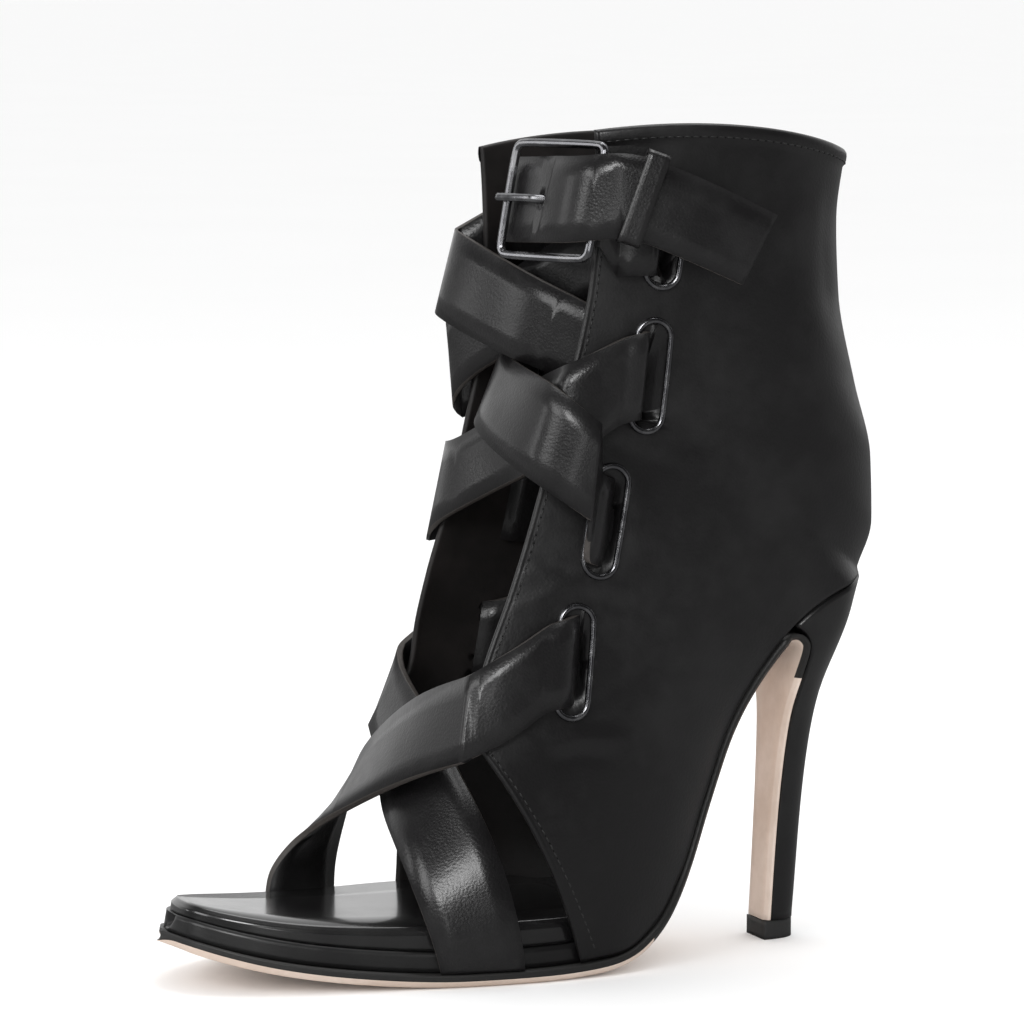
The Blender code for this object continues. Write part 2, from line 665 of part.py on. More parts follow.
def seat_ring():
    """The heel's top ring, just under the feather line."""
    places = [SEAT_PLACE + (1.0 - SEAT_PLACE) * i / HEEL_POINTS for i in range(HEEL_POINTS + 1)]
    ring = []
    for side, order in ((LATERAL, places), (MEDIAL, places[-2::-1])):
        for place in order:
            point, outward, up = sole_frame(place, side)
            ring.append(point - up * GAP)
    return ring


def stack_mesh(rings):
    """Closes a solid over a stack of rings, from the lowest to the highest."""
    bm = bmesh.new()
    loops = [[bm.verts.new(point) for point in ring] for ring in rings]
    count = len(rings[0])
    for lower, upper in zip(loops, loops[1:]):
        for i in range(count):
            j = (i + 1) % count
            bm.faces.new((lower[i], lower[j], upper[j], upper[i]))
    for loop, turned in ((loops[0], True), (loops[-1], False)):
        half = count // 2
        for i in range(half):
            corners = [loop[i], loop[i + 1], loop[count - 2 - i], loop[count - 1 - i]]
            if len(set(corners)) < 3:
                continue
            corners = list(dict.fromkeys(corners))
            if turned:
                corners.reverse()
            bm.faces.new(corners)
    return bm


def build_heel(finishes):
    """The covered heel and its rubber top piece."""
    centre, up = breast_bend()
    tip_back = TIP_REACH + GAP + TIP_DEPTH
    rings = []
    for front, back, share, seat, tip in HEEL_ROWS:
        low = max(front * centre.z, TOP_PIECE_HEIGHT + GAP)
        high = max(back * centre.z, TOP_PIECE_HEIGHT + GAP)
        reach = tip_back + (HEEL_REACH - tip_back) * share
        rings.append(heel_ring(low, high, reach, seat * SEAT_WIDTH + tip * TIP_WIDTH))
    seat = seat_ring()
    crown = []
    for low, high in zip(rings[-1], seat):
        bend = (low + high) / 2
        reach = Vector((0.0, bend.y - centre.y, bend.z - centre.z))
        least = BREAST_BEND + 4 * GAP
        if reach.length < least:
            reach = reach.normalized() * least
            bend = Vector((bend.x, centre.y + reach.y, centre.z + reach.z))
        crown.append(bend)
    add_object("heel", stack_mesh(rings + [crown, seat]), finishes["leather"])
    top_piece = heel_ring(TOP_PIECE_HEIGHT, TOP_PIECE_HEIGHT, tip_back, TIP_WIDTH / 2)
    front = TIP_REACH - BREAST_LEATHER
    top = [Vector((p.x, max(p.y - (GAP + BREAST_LEATHER) * (tip_back - p.y) / TIP_DEPTH, front), p.z))
           for p in top_piece]
    floor = [Vector((p.x, p.y, 0.0)) for p in top]
    add_object("heel_top_piece", stack_mesh([floor, top]), finishes["rubber"])


def wall_find(side, along, up):
    """The row and the share along it at which a quarter passes a place in side view."""
    low, high = 0.0, len(UPPER_ROWS) - 1.0
    for _ in range(22):
        row = (low + high) / 2
        front, rear, edge, widest, bow = wall_row(side, row)
        chord_along, chord_up = rear.y - front.y, rear.z - front.z
        length = math.hypot(chord_along, chord_up)
        run, rise = along - front.y, up - front.z
        share = (run * chord_along + rise * chord_up) / length ** 2
        height = (rise * chord_along - run * chord_up) / length
        inner = min(max(share, 0.0), 1.0)
        if height > bow * 4 * inner * (1 - inner):
            low = row
        else:
            high = row
    return row, share


def wall_across(side, along, up):
    """How far across the shoe a quarter's outer face lies at a place in side view."""
    row, share = wall_find(side, along, up)
    front, rear, edge, widest, bow = wall_row(side, row)
    front_turn, rear_turn = wall_angles(side, row)
    swing = sole_point(1.0, side).x
    if share < WIDEST_PLACE:
        turn = math.asin(min((1.0 - share / WIDEST_PLACE) * math.sin(front_turn), WALL_LIMIT))
        return widest * math.cos(turn)
    turn = math.asin(min((share - WIDEST_PLACE) / (1 - WIDEST_PLACE) * math.sin(rear_turn), WALL_LIMIT))
    return swing + (widest - swing) * math.cos(turn)


def wall_point(side, along, up, lift=0.0):
    """The point of a quarter that lies at a place in side view, lifted off its outer face."""
    across = wall_across(side, along, up)
    step = 0.5 * MM
    slope_along = (wall_across(side, along + step, up) - wall_across(side, along - step, up)) / (2 * step)
    slope_up = (wall_across(side, along, up + step) - wall_across(side, along, up - step)) / (2 * step)
    normal = Vector((1.0, -slope_along * side, -slope_up * side)).normalized()
    normal.x *= side
    return Vector((across, along, up)) + normal * lift


def clear_wall(point, sides):
    """Moves a point of a strap out of the quarters it lies upon."""
    for side in sides:
        row, share = wall_find(side, point.y, point.z)
        least = abs(wall_across(side, point.y, point.z)) + STRAP / 2 + 2 * GAP
        if share > -0.04 and 0.7 * least < point.x * side < least:
            point = Vector((side * least, point.y, point.z))
    return point


def slot_place(side, slot, ahead, along_slot):
    """Side view place at a distance ahead of a slot's middle and along the slot."""
    share, height, lean = (LATERAL_SLOTS if side == LATERAL else MEDIAL_SLOTS)[slot]
    lean = math.radians(lean)
    along = FRONT_REACH * share - ahead * math.cos(lean) + along_slot * math.sin(lean)
    up = COLLAR_HEIGHT * height + ahead * math.sin(lean) + along_slot * math.cos(lean)
    return along, up


def stadium(length, width, points):
    """Places along and across a slot's outline of a length and width."""
    radius = width / 2
    straight = (length - width) / 2
    outline = []
    for end in (1, -1):
        for i in range(points + 1):
            angle = math.pi * i / points
            outline.append((end * radius * math.cos(angle), end * (straight + radius * math.sin(angle))))
    return outline


def build_slots(upper, finishes):
    """Cuts the eight slots through the quarters and sets a metal rim into each."""
    cutter_bm = bmesh.new()
    for side, word in ((LATERAL, "lateral"), (MEDIAL, "medial")):
        for slot in range(len(LATERAL_SLOTS)):
            outline = stadium(SLOT_LENGTH + 2 * GAP, SLOT_WIDTH + 2 * GAP, RIM_POINTS)
            places = [slot_place(side, slot, ahead, up) for ahead, up in outline]
            rings = []
            for lift in (-WALL - 2 * MM, 2 * MM):
                rings.append([wall_point(side, along, up, lift) for along, up in places])
            if side == LATERAL:
                rings = [list(reversed(ring)) for ring in rings]
            add_prism(cutter_bm, rings)
            path = stadium(SLOT_LENGTH - RIM, SLOT_WIDTH - RIM, RIM_POINTS)
            places = [slot_place(side, slot, ahead, up) for ahead, up in path]
            points = [wall_point(side, along, up, RIM_LIFT) for along, up in places]
            raised = [wall_point(side, along, up, RIM_LIFT + MM) for along, up in places]
            name = f"slot_rim_{word}_{slot + 1}"
            add_object(name, loop_mesh(points, raised, RIM / 2, RIM_SIDES), finishes["metal"], 80.0)
    cutter = add_object("slot_cutter", cutter_bm, finishes["metal"])
    cutter.hide_render = True
    cutter.display_type = "WIRE"
    cut = upper.modifiers.new("slots", "BOOLEAN")
    cut.object = cutter
    cut.operation = "DIFFERENCE"
    cut.solver = "EXACT"


def add_prism(bm, rings):
    """Adds a closed prism between an inner and an outer ring."""
    loops = [[bm.verts.new(point) for point in ring] for ring in rings]
    count = len(rings[0])
    for i in range(count):
        j = (i + 1) % count
        bm.faces.new((loops[0][i], loops[0][j], loops[1][j], loops[1][i]))
    bm.faces.new(list(reversed(loops[0])))
    bm.faces.new(loops[1])


def loop_mesh(points, raised, radius, sides):
    """A closed tube along a loop of points; raised points give the way off the wall."""
    bm = bmesh.new()
    count = len(points)
    rings = []
    for i, point in enumerate(points):
        run = (points[(i + 1) % count] - points[i - 1]).normalized()
        off = (raised[i] - point).normalized()
        out = run.cross(off).normalized()
        ring = []
        for k in range(sides):
            angle = 2 * math.pi * (k + 0.5) / sides
            ring.append(bm.verts.new(point + (out * math.cos(angle) + off * math.sin(angle)) * radius))
        rings.append(ring)
    for i in range(count):
        ring, following = rings[i], rings[(i + 1) % count]
        for k in range(sides):
            j = (k + 1) % sides
            bm.faces.new((ring[k], following[k], following[j], ring[j]))
    bmesh.ops.remove_doubles(bm, verts=bm.verts, dist=0.01 * MM)
    bmesh.ops.recalc_face_normals(bm, faces=bm.faces)
    return bm


def slot_stations(side, slot, table, slant_out, slant_in, arch=0.0):
    """Edge points of a strap on its way through a slot.

    A slant above 0 rises to the rear; the arch lifts the part ahead of the slot off the wall.
    """
    edge = (SLOT_WIDTH - RIM) / 2
    clear = (STRAP + RIM) / 2 + GAP
    over = RIM_LIFT + clear
    under = -(WALL + STRAP / 2 + 3 * GAP)
    stations = []
    for edge_share, clear_share, over_share, under_share in table:
        back = edge_share * edge + clear_share * clear
        lift = over_share * over + under_share * under
        if lift > 0.0:
            lift += arch * max(-back - edge, 0.0)
        shift = (back + edge / 2) * (slant_out if lift > 0 else slant_in)
        pair = []
        for end in (-1, 1):
            along_slot = shift + end * STRAP_WIDTH * PASS_WIDTH / 2
            along, up = slot_place(side, slot, -back, along_slot)
            pair.append(wall_point(side, along, up, lift))
        stations.append(tuple(pair))
    return stations


def share_point(row):
    """A point from shares of half BALL_WIDTH, FRONT_REACH and COLLAR_HEIGHT."""
    return Vector((row[0] * BALL_WIDTH / 2, row[1] * FRONT_REACH, row[2] * COLLAR_HEIGHT))


def free_stations(rows, sides=()):
    """Edge points of a strap's free part; the sides name the quarters that the strap lies upon."""
    stations = []
    for row in rows:
        pair = (share_point(row[:3]), share_point(row[3:]))
        stations.append(tuple(clear_wall(point, sides) for point in pair))
    return stations


def root_station(side, front, rear):
    """Edge points of a strap's root on the outsole, between two places of the sole line."""
    pair = []
    for place in (front, rear):
        point, outward, up = sole_frame(place, side)
        pair.append(point - outward * (STRAP / 2) + up * GAP)
    return tuple(pair)


def slope_at(before, point, after, length):
    """The slope of a curve at a point, for a stretch of a length, from the points beside it."""
    first, second = (point - before).length, (after - point).length
    if min(first, second) < 1e-6:
        return (after - before).normalized() * length
    into, out_of = (point - before) / first, (after - point) / second
    return (into * second + out_of * first) * (length / (first + second))


def smooth_stations(stations, steps, closed=False):
    """Adds stations in between on a curve through all of them."""
    count = len(stations)
    refined = []
    for i in range(count if closed else count - 1):
        four = []
        for k in (i - 1, i, i + 1, i + 2):
            four.append(stations[k % count] if closed else stations[min(max(k, 0), count - 1)])
        for j in range(steps):
            t = j / steps
            pair = []
            for end in (0, 1):
                a, b, c, d = (station[end] for station in four)
                length = (c - b).length
                start, finish = slope_at(a, b, c, length), slope_at(b, c, d, length)
                pair.append(b * (2 * t ** 3 - 3 * t * t + 1) + start * (t ** 3 - 2 * t * t + t)
                            + c * (3 * t * t - 2 * t ** 3) + finish * (t ** 3 - t * t))
            refined.append(tuple(pair))
    if not closed:
        refined.append(stations[-1])
    return refined


def ribbon_mesh(stations, thickness, closed=False):
    """A flat band of one thickness around stations of two edge points each."""
    bm = bmesh.new()
    count = len(stations)
    middles = [(a + b) / 2 for a, b in stations]
    rings = []
    for i, (low, high) in enumerate(stations):
        before = middles[i - 1] if closed or i > 0 else middles[0]
        after = middles[(i + 1) % count] if closed or i < count - 1 else middles[-1]
        normal = (after - before).cross(high - low).normalized() * (thickness / 2)
        corners = (low - normal, high - normal, high + normal, low + normal)
        rings.append([bm.verts.new(corner) for corner in corners])
    for i in range(count if closed else count - 1):
        ring, following = rings[i], rings[(i + 1) % count]
        for k in range(4):
            j = (k + 1) % 4
            bm.faces.new((ring[k], following[k], following[j], ring[j]))
    if not closed:
        bm.faces.new(rings[0])
        bm.faces.new(list(reversed(rings[-1])))
    bmesh.ops.recalc_face_normals(bm, faces=bm.faces)
    return bm


def buckle_frame():
    """The buckle's own corner, its way across, its way up, its way outward and its run."""
    corner = Vector((0.0, BUCKLE_FOOT[0] * FRONT_REACH, BUCKLE_FOOT[1] * COLLAR_HEIGHT))
    across = Vector((BUCKLE_RUN[0] * BALL_WIDTH / 2, BUCKLE_RUN[1] * FRONT_REACH, 0.0))
    up = Vector((0.0, BUCKLE_LEAN, 1.0)).normalized()
    outward = across.cross(up).normalized()
    return corner, across.normalized(), up, outward, across.length


def buckle_point(run_share, up_distance, out_share):
    """A point of the buckle's own frame."""
    corner, across, up, outward, run = buckle_frame()
    clear = (STRAP + BUCKLE_BAR) / 2 + GAP
    return corner + across * (run_share * run) + up * up_distance + outward * (out_share * clear)


def buckle_height():
    """The height of the buckle's frame between its bars' middles."""
    return STRAP_WIDTH + BUCKLE_ROOM


def rounded_rectangle(width, height, radius, points):
    """Places of a closed rounded rectangle around its middle."""
    outline = []
    for corner, (sx, sy) in enumerate(((1, 1), (-1, 1), (-1, -1), (1, -1))):
        for i in range(points + 1):
            angle = math.pi / 2 * (corner + i / points)
            outline.append((sx * (width / 2 - radius) + radius * math.cos(angle),
                            sy * (height / 2 - radius) + radius * math.sin(angle)))
    return outline


def rod_mesh(points, radius, sides):
    """A rod of one radius along an open chain of points."""
    bm = bmesh.new()
    rings = []
    corner, across, up, outward, run = buckle_frame()
    for i, point in enumerate(points):
        way = (points[min(i + 1, len(points) - 1)] - points[max(i - 1, 0)]).normalized()
        side = way.cross(up).normalized()
        ring = []
        for k in range(sides):
            angle = 2 * math.pi * (k + 0.5) / sides
            ring.append(bm.verts.new(point + (side * math.cos(angle) + up * math.sin(angle)) * radius))
        rings.append(ring)
    for ring, following in zip(rings, rings[1:]):
        for k in range(sides):
            j = (k + 1) % sides
            bm.faces.new((ring[k], following[k], following[j], ring[j]))
    bm.faces.new(rings[0])
    bm.faces.new(list(reversed(rings[-1])))
    bmesh.ops.recalc_face_normals(bm, faces=bm.faces)
    return bm


def prong_points(steps):
    """The middle line of the prong."""
    middle = buckle_height() / 2
    stations = []
    for run_share, out_share in PRONG_PATH:
        point = buckle_point(run_share, middle, out_share)
        stations.append((point, point))
    return [pair[0] for pair in smooth_stations(stations, steps)]


def build_straps(finishes):
    """The four leather straps."""
    inner = [root_station(MEDIAL, 0.236, 0.297)]
    inner += free_stations(INNER_ROOT, (LATERAL,))
    inner += slot_stations(LATERAL, 0, PASS[1:], 0.4, 0.4)
    add_strap("strap_inner_root", inner, finishes)
    outer = [root_station(LATERAL, 0.318, 0.395)]
    outer += free_stations(OUTER_ROOT, (MEDIAL,))
    outer += slot_stations(MEDIAL, 0, PASS[1:], 0.3, 0.3)
    add_strap("strap_outer_root", outer, finishes)
    base = slot_stations(LATERAL, 1, PASS[2:], -0.25, -0.1, 0.35)[::-1]
    base += free_stations(INSTEP, (LATERAL,))
    base += slot_stations(MEDIAL, 2, TURN, 0.1, 0.0)[::-1]
    base += free_stations(BACK, (MEDIAL,))
    base += slot_stations(LATERAL, 3, TURN, 0.1, 0.1)[::-1]
    middle = buckle_height() / 2
    for run_share, out_share in ((1.03, -1.05), (0.90, -1.10)):
        base.append((buckle_point(run_share, middle - STRAP_WIDTH / 2, out_share),
                     buckle_point(run_share, middle + STRAP_WIDTH / 2, out_share)))
    add_strap("strap_buckle_base", base, finishes)
    loose = slot_stations(MEDIAL, 1, PASS, 0.1, 0.1)[::-1]
    loose += free_stations(SHIN, (LATERAL, MEDIAL))
    loose += slot_stations(LATERAL, 2, TURN[1:], 0.35, -0.3)
    loose += free_stations(TOP, (MEDIAL,))
    loose += slot_stations(MEDIAL, 3, TURN, 0.35, 0.0)
    loose += free_stations(INSIDE)
    for run_share, out_share in BUCKLE_PATH:
        loose.append((buckle_point(run_share, middle - STRAP_WIDTH / 2, out_share),
                      buckle_point(run_share, middle + STRAP_WIDTH / 2, out_share)))
    loose += free_stations(TAIL, (LATERAL,))
    strap = add_strap("strap_loose_end", loose, finishes)
    points = prong_points(3)
    hole = add_object("prong_hole_cutter", rod_mesh(points[4:14], PRONG / 2 + GAP, 10), finishes["metal"])
    hole.hide_render = True
    hole.display_type = "WIRE"
    cut = strap.modifiers.new("prong_hole", "BOOLEAN")
    cut.object = hole
    cut.operation = "DIFFERENCE"
    cut.solver = "EXACT"


def add_strap(name, stations, finishes):
    """One strap from its stations."""
    return add_object(name, ribbon_mesh(smooth_stations(stations, 2), STRAP), finishes["leather"])


def build_buckle(finishes):
    """The buckle's frame and prong, and the leather keeper on the loose end."""
    corner, across, up, outward, run = buckle_frame()
    middle = corner + across * (run / 2) + up * (buckle_height() / 2)
    outline = rounded_rectangle(run, buckle_height(), 3 * MM, 3)
    points = [middle + across * a + up * b for a, b in outline]
    raised = [point + outward * MM for point in points]
    add_object("buckle_frame", loop_mesh(points, raised, BUCKLE_BAR / 2, 8), finishes["metal"], 80.0)
    add_object("buckle_prong", rod_mesh(prong_points(3), PRONG / 2, 8), finishes["metal"], 80.0)


def build_keeper(finishes):
    """The leather loop round the loose end, next to the buckle."""
    first, second = free_stations(TAIL[:2])
    low = first[0].lerp(second[0], KEEPER_PLACE)
    high = first[1].lerp(second[1], KEEPER_PLACE)
    middle = (low + high) / 2
    along = ((second[0] + second[1]) - (first[0] + first[1])).normalized()
    wide = (high - low - along * (high - low).dot(along)).normalized()
    outward = along.cross(wide)
    room = KEEPER_LEATHER + 3.4 * GAP
    stations = []
    for a, b in rounded_rectangle((high - low).length + room, STRAP + room, 1.6 * MM, 3):
        point = middle + wide * a + outward * b
        stations.append((point - along * (KEEPER_WIDTH / 2), point + along * (KEEPER_WIDTH / 2)))
    add_object("keeper", ribbon_mesh(stations, KEEPER_LEATHER, True), finishes["leather"])


def main():
    """Builds the whole boot."""
    for old in list(bpy.data.objects):
        bpy.data.objects.remove(old, do_unlink=True)
    finishes = {
        "leather": material("black_leather", (0.02, 0.02, 0.02), 0.4),
        "sole": material("sole_leather", (0.75, 0.6, 0.5), 0.5),
        "metal": material("gunmetal", (0.2, 0.2, 0.2), 0.3, 1.0),
        "rubber": material("black_rubber", (0.02, 0.02, 0.02), 0.6),
    }
    upper = build_upper(finishes["leather"])
    build_sole(finishes)
    build_heel(finishes)
    build_slots(upper, finishes)
    build_straps(finishes)
    build_buckle(finishes)
    build_keeper(finishes)


main()
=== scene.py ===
"""Looks of a stiletto ankle boot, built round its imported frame.

The frame gives every solid at its place. Each class below dresses one sub-assembly: the upper with its
rolled edges, binding, stitches and creases, the laced straps, the sole and heel, and the metal parts.
Lengths are metres, +X is the shoe's outer side, +Y runs from toe to heel, +Z is up.
"""
import logging
import math
from dataclasses import dataclass, field
from enum import Enum
from typing import Callable, Sequence

import bmesh
import bpy
import numpy as np
from mathutils import Matrix, Vector
from mathutils.bvhtree import BVHTree


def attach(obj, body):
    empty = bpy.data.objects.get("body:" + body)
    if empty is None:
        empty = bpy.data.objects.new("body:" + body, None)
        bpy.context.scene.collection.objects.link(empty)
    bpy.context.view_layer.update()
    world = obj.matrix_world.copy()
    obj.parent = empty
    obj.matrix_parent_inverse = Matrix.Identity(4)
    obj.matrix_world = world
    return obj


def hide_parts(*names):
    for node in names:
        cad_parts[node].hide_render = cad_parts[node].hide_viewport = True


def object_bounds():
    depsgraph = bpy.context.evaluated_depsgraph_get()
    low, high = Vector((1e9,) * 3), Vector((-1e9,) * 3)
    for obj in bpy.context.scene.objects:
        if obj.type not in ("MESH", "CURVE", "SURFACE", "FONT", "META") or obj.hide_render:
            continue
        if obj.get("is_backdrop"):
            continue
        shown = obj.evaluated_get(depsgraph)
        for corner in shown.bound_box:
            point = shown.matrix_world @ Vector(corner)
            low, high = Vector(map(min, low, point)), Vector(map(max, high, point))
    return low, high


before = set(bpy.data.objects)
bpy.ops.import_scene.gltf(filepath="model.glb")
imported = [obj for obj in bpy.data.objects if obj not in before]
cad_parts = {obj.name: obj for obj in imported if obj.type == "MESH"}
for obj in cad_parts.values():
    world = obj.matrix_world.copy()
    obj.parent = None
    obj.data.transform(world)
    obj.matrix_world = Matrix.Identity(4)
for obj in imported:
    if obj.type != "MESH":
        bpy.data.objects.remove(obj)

LOG = logging.getLogger("ankle_boot")
MM = 0.001
CAD_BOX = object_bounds()
BODY = "root"


class Side(Enum):
    """One of the two quarters."""

    LATERAL = 1
    MEDIAL = -1


class Slot(Enum):
    """The record's material slots."""

    LEATHER = "black_leather"
    SOLE = "sole_leather"
    METAL = "gunmetal"
    RUBBER = "black_rubber"


def node_group(name: str, inputs: dict[str, float], outputs: Sequence[str]) -> bpy.types.ShaderNodeTree:
    """Starts a shader node group with float sockets and an input and an output node.

    Args:
        name: the group's name.
        inputs: each input socket's name and first value.
        outputs: the output sockets' names.

    Returns:
        The new group.
    """
    group = bpy.data.node_groups.new(name, "ShaderNodeTree")
    for label, value in inputs.items():
        socket = group.interface.new_socket(name=label, in_out="INPUT", socket_type="NodeSocketFloat")
        socket.default_value = value
    for label in outputs:
        group.interface.new_socket(name=label, in_out="OUTPUT", socket_type="NodeSocketFloat")
    group.nodes.new("NodeGroupInput").name = "in"
    group.nodes.new("NodeGroupOutput").name = "out"
    return group


def maths(tree: bpy.types.NodeTree, operation: str, *values: object) -> bpy.types.NodeSocket:
    """Adds a Math node and returns its output.

    Args:
        tree: the node tree.
        operation: the Math node's operation.
        values: a number or a socket for each input.

    Returns:
        The node's value socket.
    """
    made = tree.nodes.new("ShaderNodeMath")
    made.operation = operation
    for slot, value in zip(made.inputs, values):
        if isinstance(value, (int, float)):
            slot.default_value = value
        else:
            tree.links.new(value, slot)
    return made.outputs[0]


def texture(tree: bpy.types.NodeTree, kind: str, scale: object, **settings: object) -> bpy.types.Node:
    """Adds a texture node that reads Object coordinates.

    Args:
        tree: the node tree.
        kind: the node's type, such as ShaderNodeTexNoise.
        scale: a number or a socket for its scale.
        settings: values for its other input sockets, by name with underscores for spaces.

    Returns:
        The texture node.
    """
    place = tree.nodes.get("place") or tree.nodes.new("ShaderNodeTexCoord")
    place.name = "place"
    made = tree.nodes.new(kind)
    tree.links.new(place.outputs["Object"], made.inputs["Vector"])
    if isinstance(scale, (int, float)):
        made.inputs["Scale"].default_value = scale
    else:
        tree.links.new(scale, made.inputs["Scale"])
    for label, value in settings.items():
        made.inputs[label.replace("_", " ")].default_value = value
    return made


class SharedEffects:
    """The shader node groups that more than one finish uses, each built once."""

    def __init__(self) -> None:
        """Builds the groups."""
        self.grain = self._grain()
        self.wear = self._wear()

    def _grain(self) -> bpy.types.ShaderNodeTree:
        """Fine leather grain: pebbles, pores and slow waves, as a height and a mask of its hollows."""
        group = node_group("leather_grain", {"Grain": 900.0, "Waves": 60.0, "Pores": 0.5}, ("Height", "Hollow"))
        given = group.nodes["in"].outputs
        cells = texture(group, "ShaderNodeTexVoronoi", given["Grain"])
        fine = texture(group, "ShaderNodeTexNoise", given["Grain"], Detail=3.0)
        slow = texture(group, "ShaderNodeTexNoise", given["Waves"], Detail=2.0)
        pebble = maths(group, "MULTIPLY", cells.outputs["Distance"], -0.6)
        pebble = maths(group, "MULTIPLY_ADD", fine.outputs["Fac"], given["Pores"], pebble)
        height = maths(group, "MULTIPLY_ADD", slow.outputs["Fac"], 1.6, pebble)
        group.links.new(height, group.nodes["out"].inputs["Height"])
        hollow = maths(group, "SMOOTH_MIN", cells.outputs["Distance"], 1.0, 0.1)
        group.links.new(hollow, group.nodes["out"].inputs["Hollow"])
        return group

    def _wear(self) -> bpy.types.ShaderNodeTree:
        """Rubbed patches: a mask that is 1 where a surface is scuffed and dusty."""
        group = node_group("rubbed_patches", {"Scale": 35.0, "Amount": 0.3}, ("Mask",))
        given = group.nodes["in"].outputs
        patches = texture(group, "ShaderNodeTexNoise", given["Scale"], Detail=6.0, Roughness=0.65)
        level = maths(group, "SUBTRACT", 1.0, given["Amount"])
        raised = maths(group, "SUBTRACT", patches.outputs["Fac"], maths(group, "MULTIPLY", level, 0.62))
        mask = maths(group, "MULTIPLY", raised, 5.0)
        clamped = maths(group, "MINIMUM", maths(group, "MAXIMUM", mask, 0.0), 1.0)
        group.links.new(clamped, group.nodes["out"].inputs["Mask"])
        return group


def start_material(name: str) -> tuple[bpy.types.Material, bpy.types.Node]:
    """Makes a node material and returns it with its Principled shader."""
    made = bpy.data.materials.new(name)
    made.use_nodes = True
    return made, made.node_tree.nodes["Principled BSDF"]


def add_group(tree: bpy.types.NodeTree, group: bpy.types.ShaderNodeTree, **values: float) -> bpy.types.Node:
    """Places a node group in a material with its own values."""
    made = tree.nodes.new("ShaderNodeGroup")
    made.node_tree = group
    for label, value in values.items():
        made.inputs[label].default_value = value
    return made


def add_bump(tree: bpy.types.NodeTree, height: bpy.types.NodeSocket, strength: float, distance: float,
             before: bpy.types.NodeSocket | None = None) -> bpy.types.NodeSocket:
    """Adds a Bump node over a height and returns its normal.

    Args:
        tree: the material's node tree.
        height: the height socket.
        strength: the bump's strength.
        distance: the height in metres of a full step.
        before: a normal that this bump is added to.

    Returns:
        The normal socket.
    """
    bump = tree.nodes.new("ShaderNodeBump")
    bump.inputs["Strength"].default_value = strength
    bump.inputs["Distance"].default_value = distance
    tree.links.new(height, bump.inputs["Height"])
    if before is not None:
        tree.links.new(before, bump.inputs["Normal"])
    return bump.outputs["Normal"]


def mixed_color(tree: bpy.types.NodeTree, share: bpy.types.NodeSocket, low: Sequence[float],
                high: Sequence[float]) -> bpy.types.NodeSocket:
    """Mixes two colours by a share that changes over the surface."""
    mix = tree.nodes.new("ShaderNodeMix")
    mix.data_type = "RGBA"
    mix.inputs[6].default_value = (*low, 1.0)
    mix.inputs[7].default_value = (*high, 1.0)
    tree.links.new(share, mix.inputs[0])
    return mix.outputs[2]


def ranged(tree: bpy.types.NodeTree, share: bpy.types.NodeSocket, low: float,
           high: float) -> bpy.types.NodeSocket:
    """Turns a share from 0 to 1 into a value between two limits."""
    return maths(tree, "MULTIPLY_ADD", share, high - low, low)


@dataclass(frozen=True)
class LeatherFinish:
    """A leather: its two colours, gloss and grain."""

    name: str
    color: tuple[float, float, float]
    worn_color: tuple[float, float, float]
    roughness: float
    worn_roughness: float
    grain: float = 1100.0
    waves: float = 55.0
    grain_depth: float = 0.35
    coat: float = 0.0
    coat_roughness: float = 0.2
    wear: float = 0.3

    def build(self, effects: SharedEffects) -> bpy.types.Material:
        """Makes the material from the shared grain and wear groups."""
        made, shader = start_material(self.name)
        tree = made.node_tree
        grain = add_group(tree, effects.grain, Grain=self.grain, Waves=self.waves, Pores=0.5)
        wear = add_group(tree, effects.wear, Scale=38.0, Amount=self.wear)
        color = mixed_color(tree, wear.outputs["Mask"], self.color, self.worn_color)
        tree.links.new(color, shader.inputs["Base Color"])
        gloss = ranged(tree, wear.outputs["Mask"], self.roughness, self.worn_roughness)
        tree.links.new(gloss, shader.inputs["Roughness"])
        normal = add_bump(tree, grain.outputs["Height"], self.grain_depth, 0.0002)
        tree.links.new(normal, shader.inputs["Normal"])
        shader.inputs["Coat Weight"].default_value = self.coat
        shader.inputs["Coat Roughness"].default_value = self.coat_roughness
        shader.inputs["Specular IOR Level"].default_value = 0.5
        return made


@dataclass(frozen=True)
class MetalFinish:
    """A dark plated metal with fine wear."""

    name: str
    color: tuple[float, float, float] = (0.17, 0.17, 0.18)
    worn_color: tuple[float, float, float] = (0.34, 0.34, 0.35)
    roughness: float = 0.2

    def build(self, effects: SharedEffects) -> bpy.types.Material:
        """Makes the material."""
        made, shader = start_material(self.name)
        tree = made.node_tree
        wear = add_group(tree, effects.wear, Scale=160.0, Amount=0.25)
        color = mixed_color(tree, wear.outputs["Mask"], self.color, self.worn_color)
        tree.links.new(color, shader.inputs["Base Color"])
        gloss = ranged(tree, wear.outputs["Mask"], self.roughness, self.roughness + 0.12)
        tree.links.new(gloss, shader.inputs["Roughness"])
        fine = texture(tree, "ShaderNodeTexNoise", 900.0, Detail=3.0)
        normal = add_bump(tree, fine.outputs["Fac"], 0.12, 0.0001)
        tree.links.new(normal, shader.inputs["Normal"])
        shader.inputs["Metallic"].default_value = 1.0
        return made


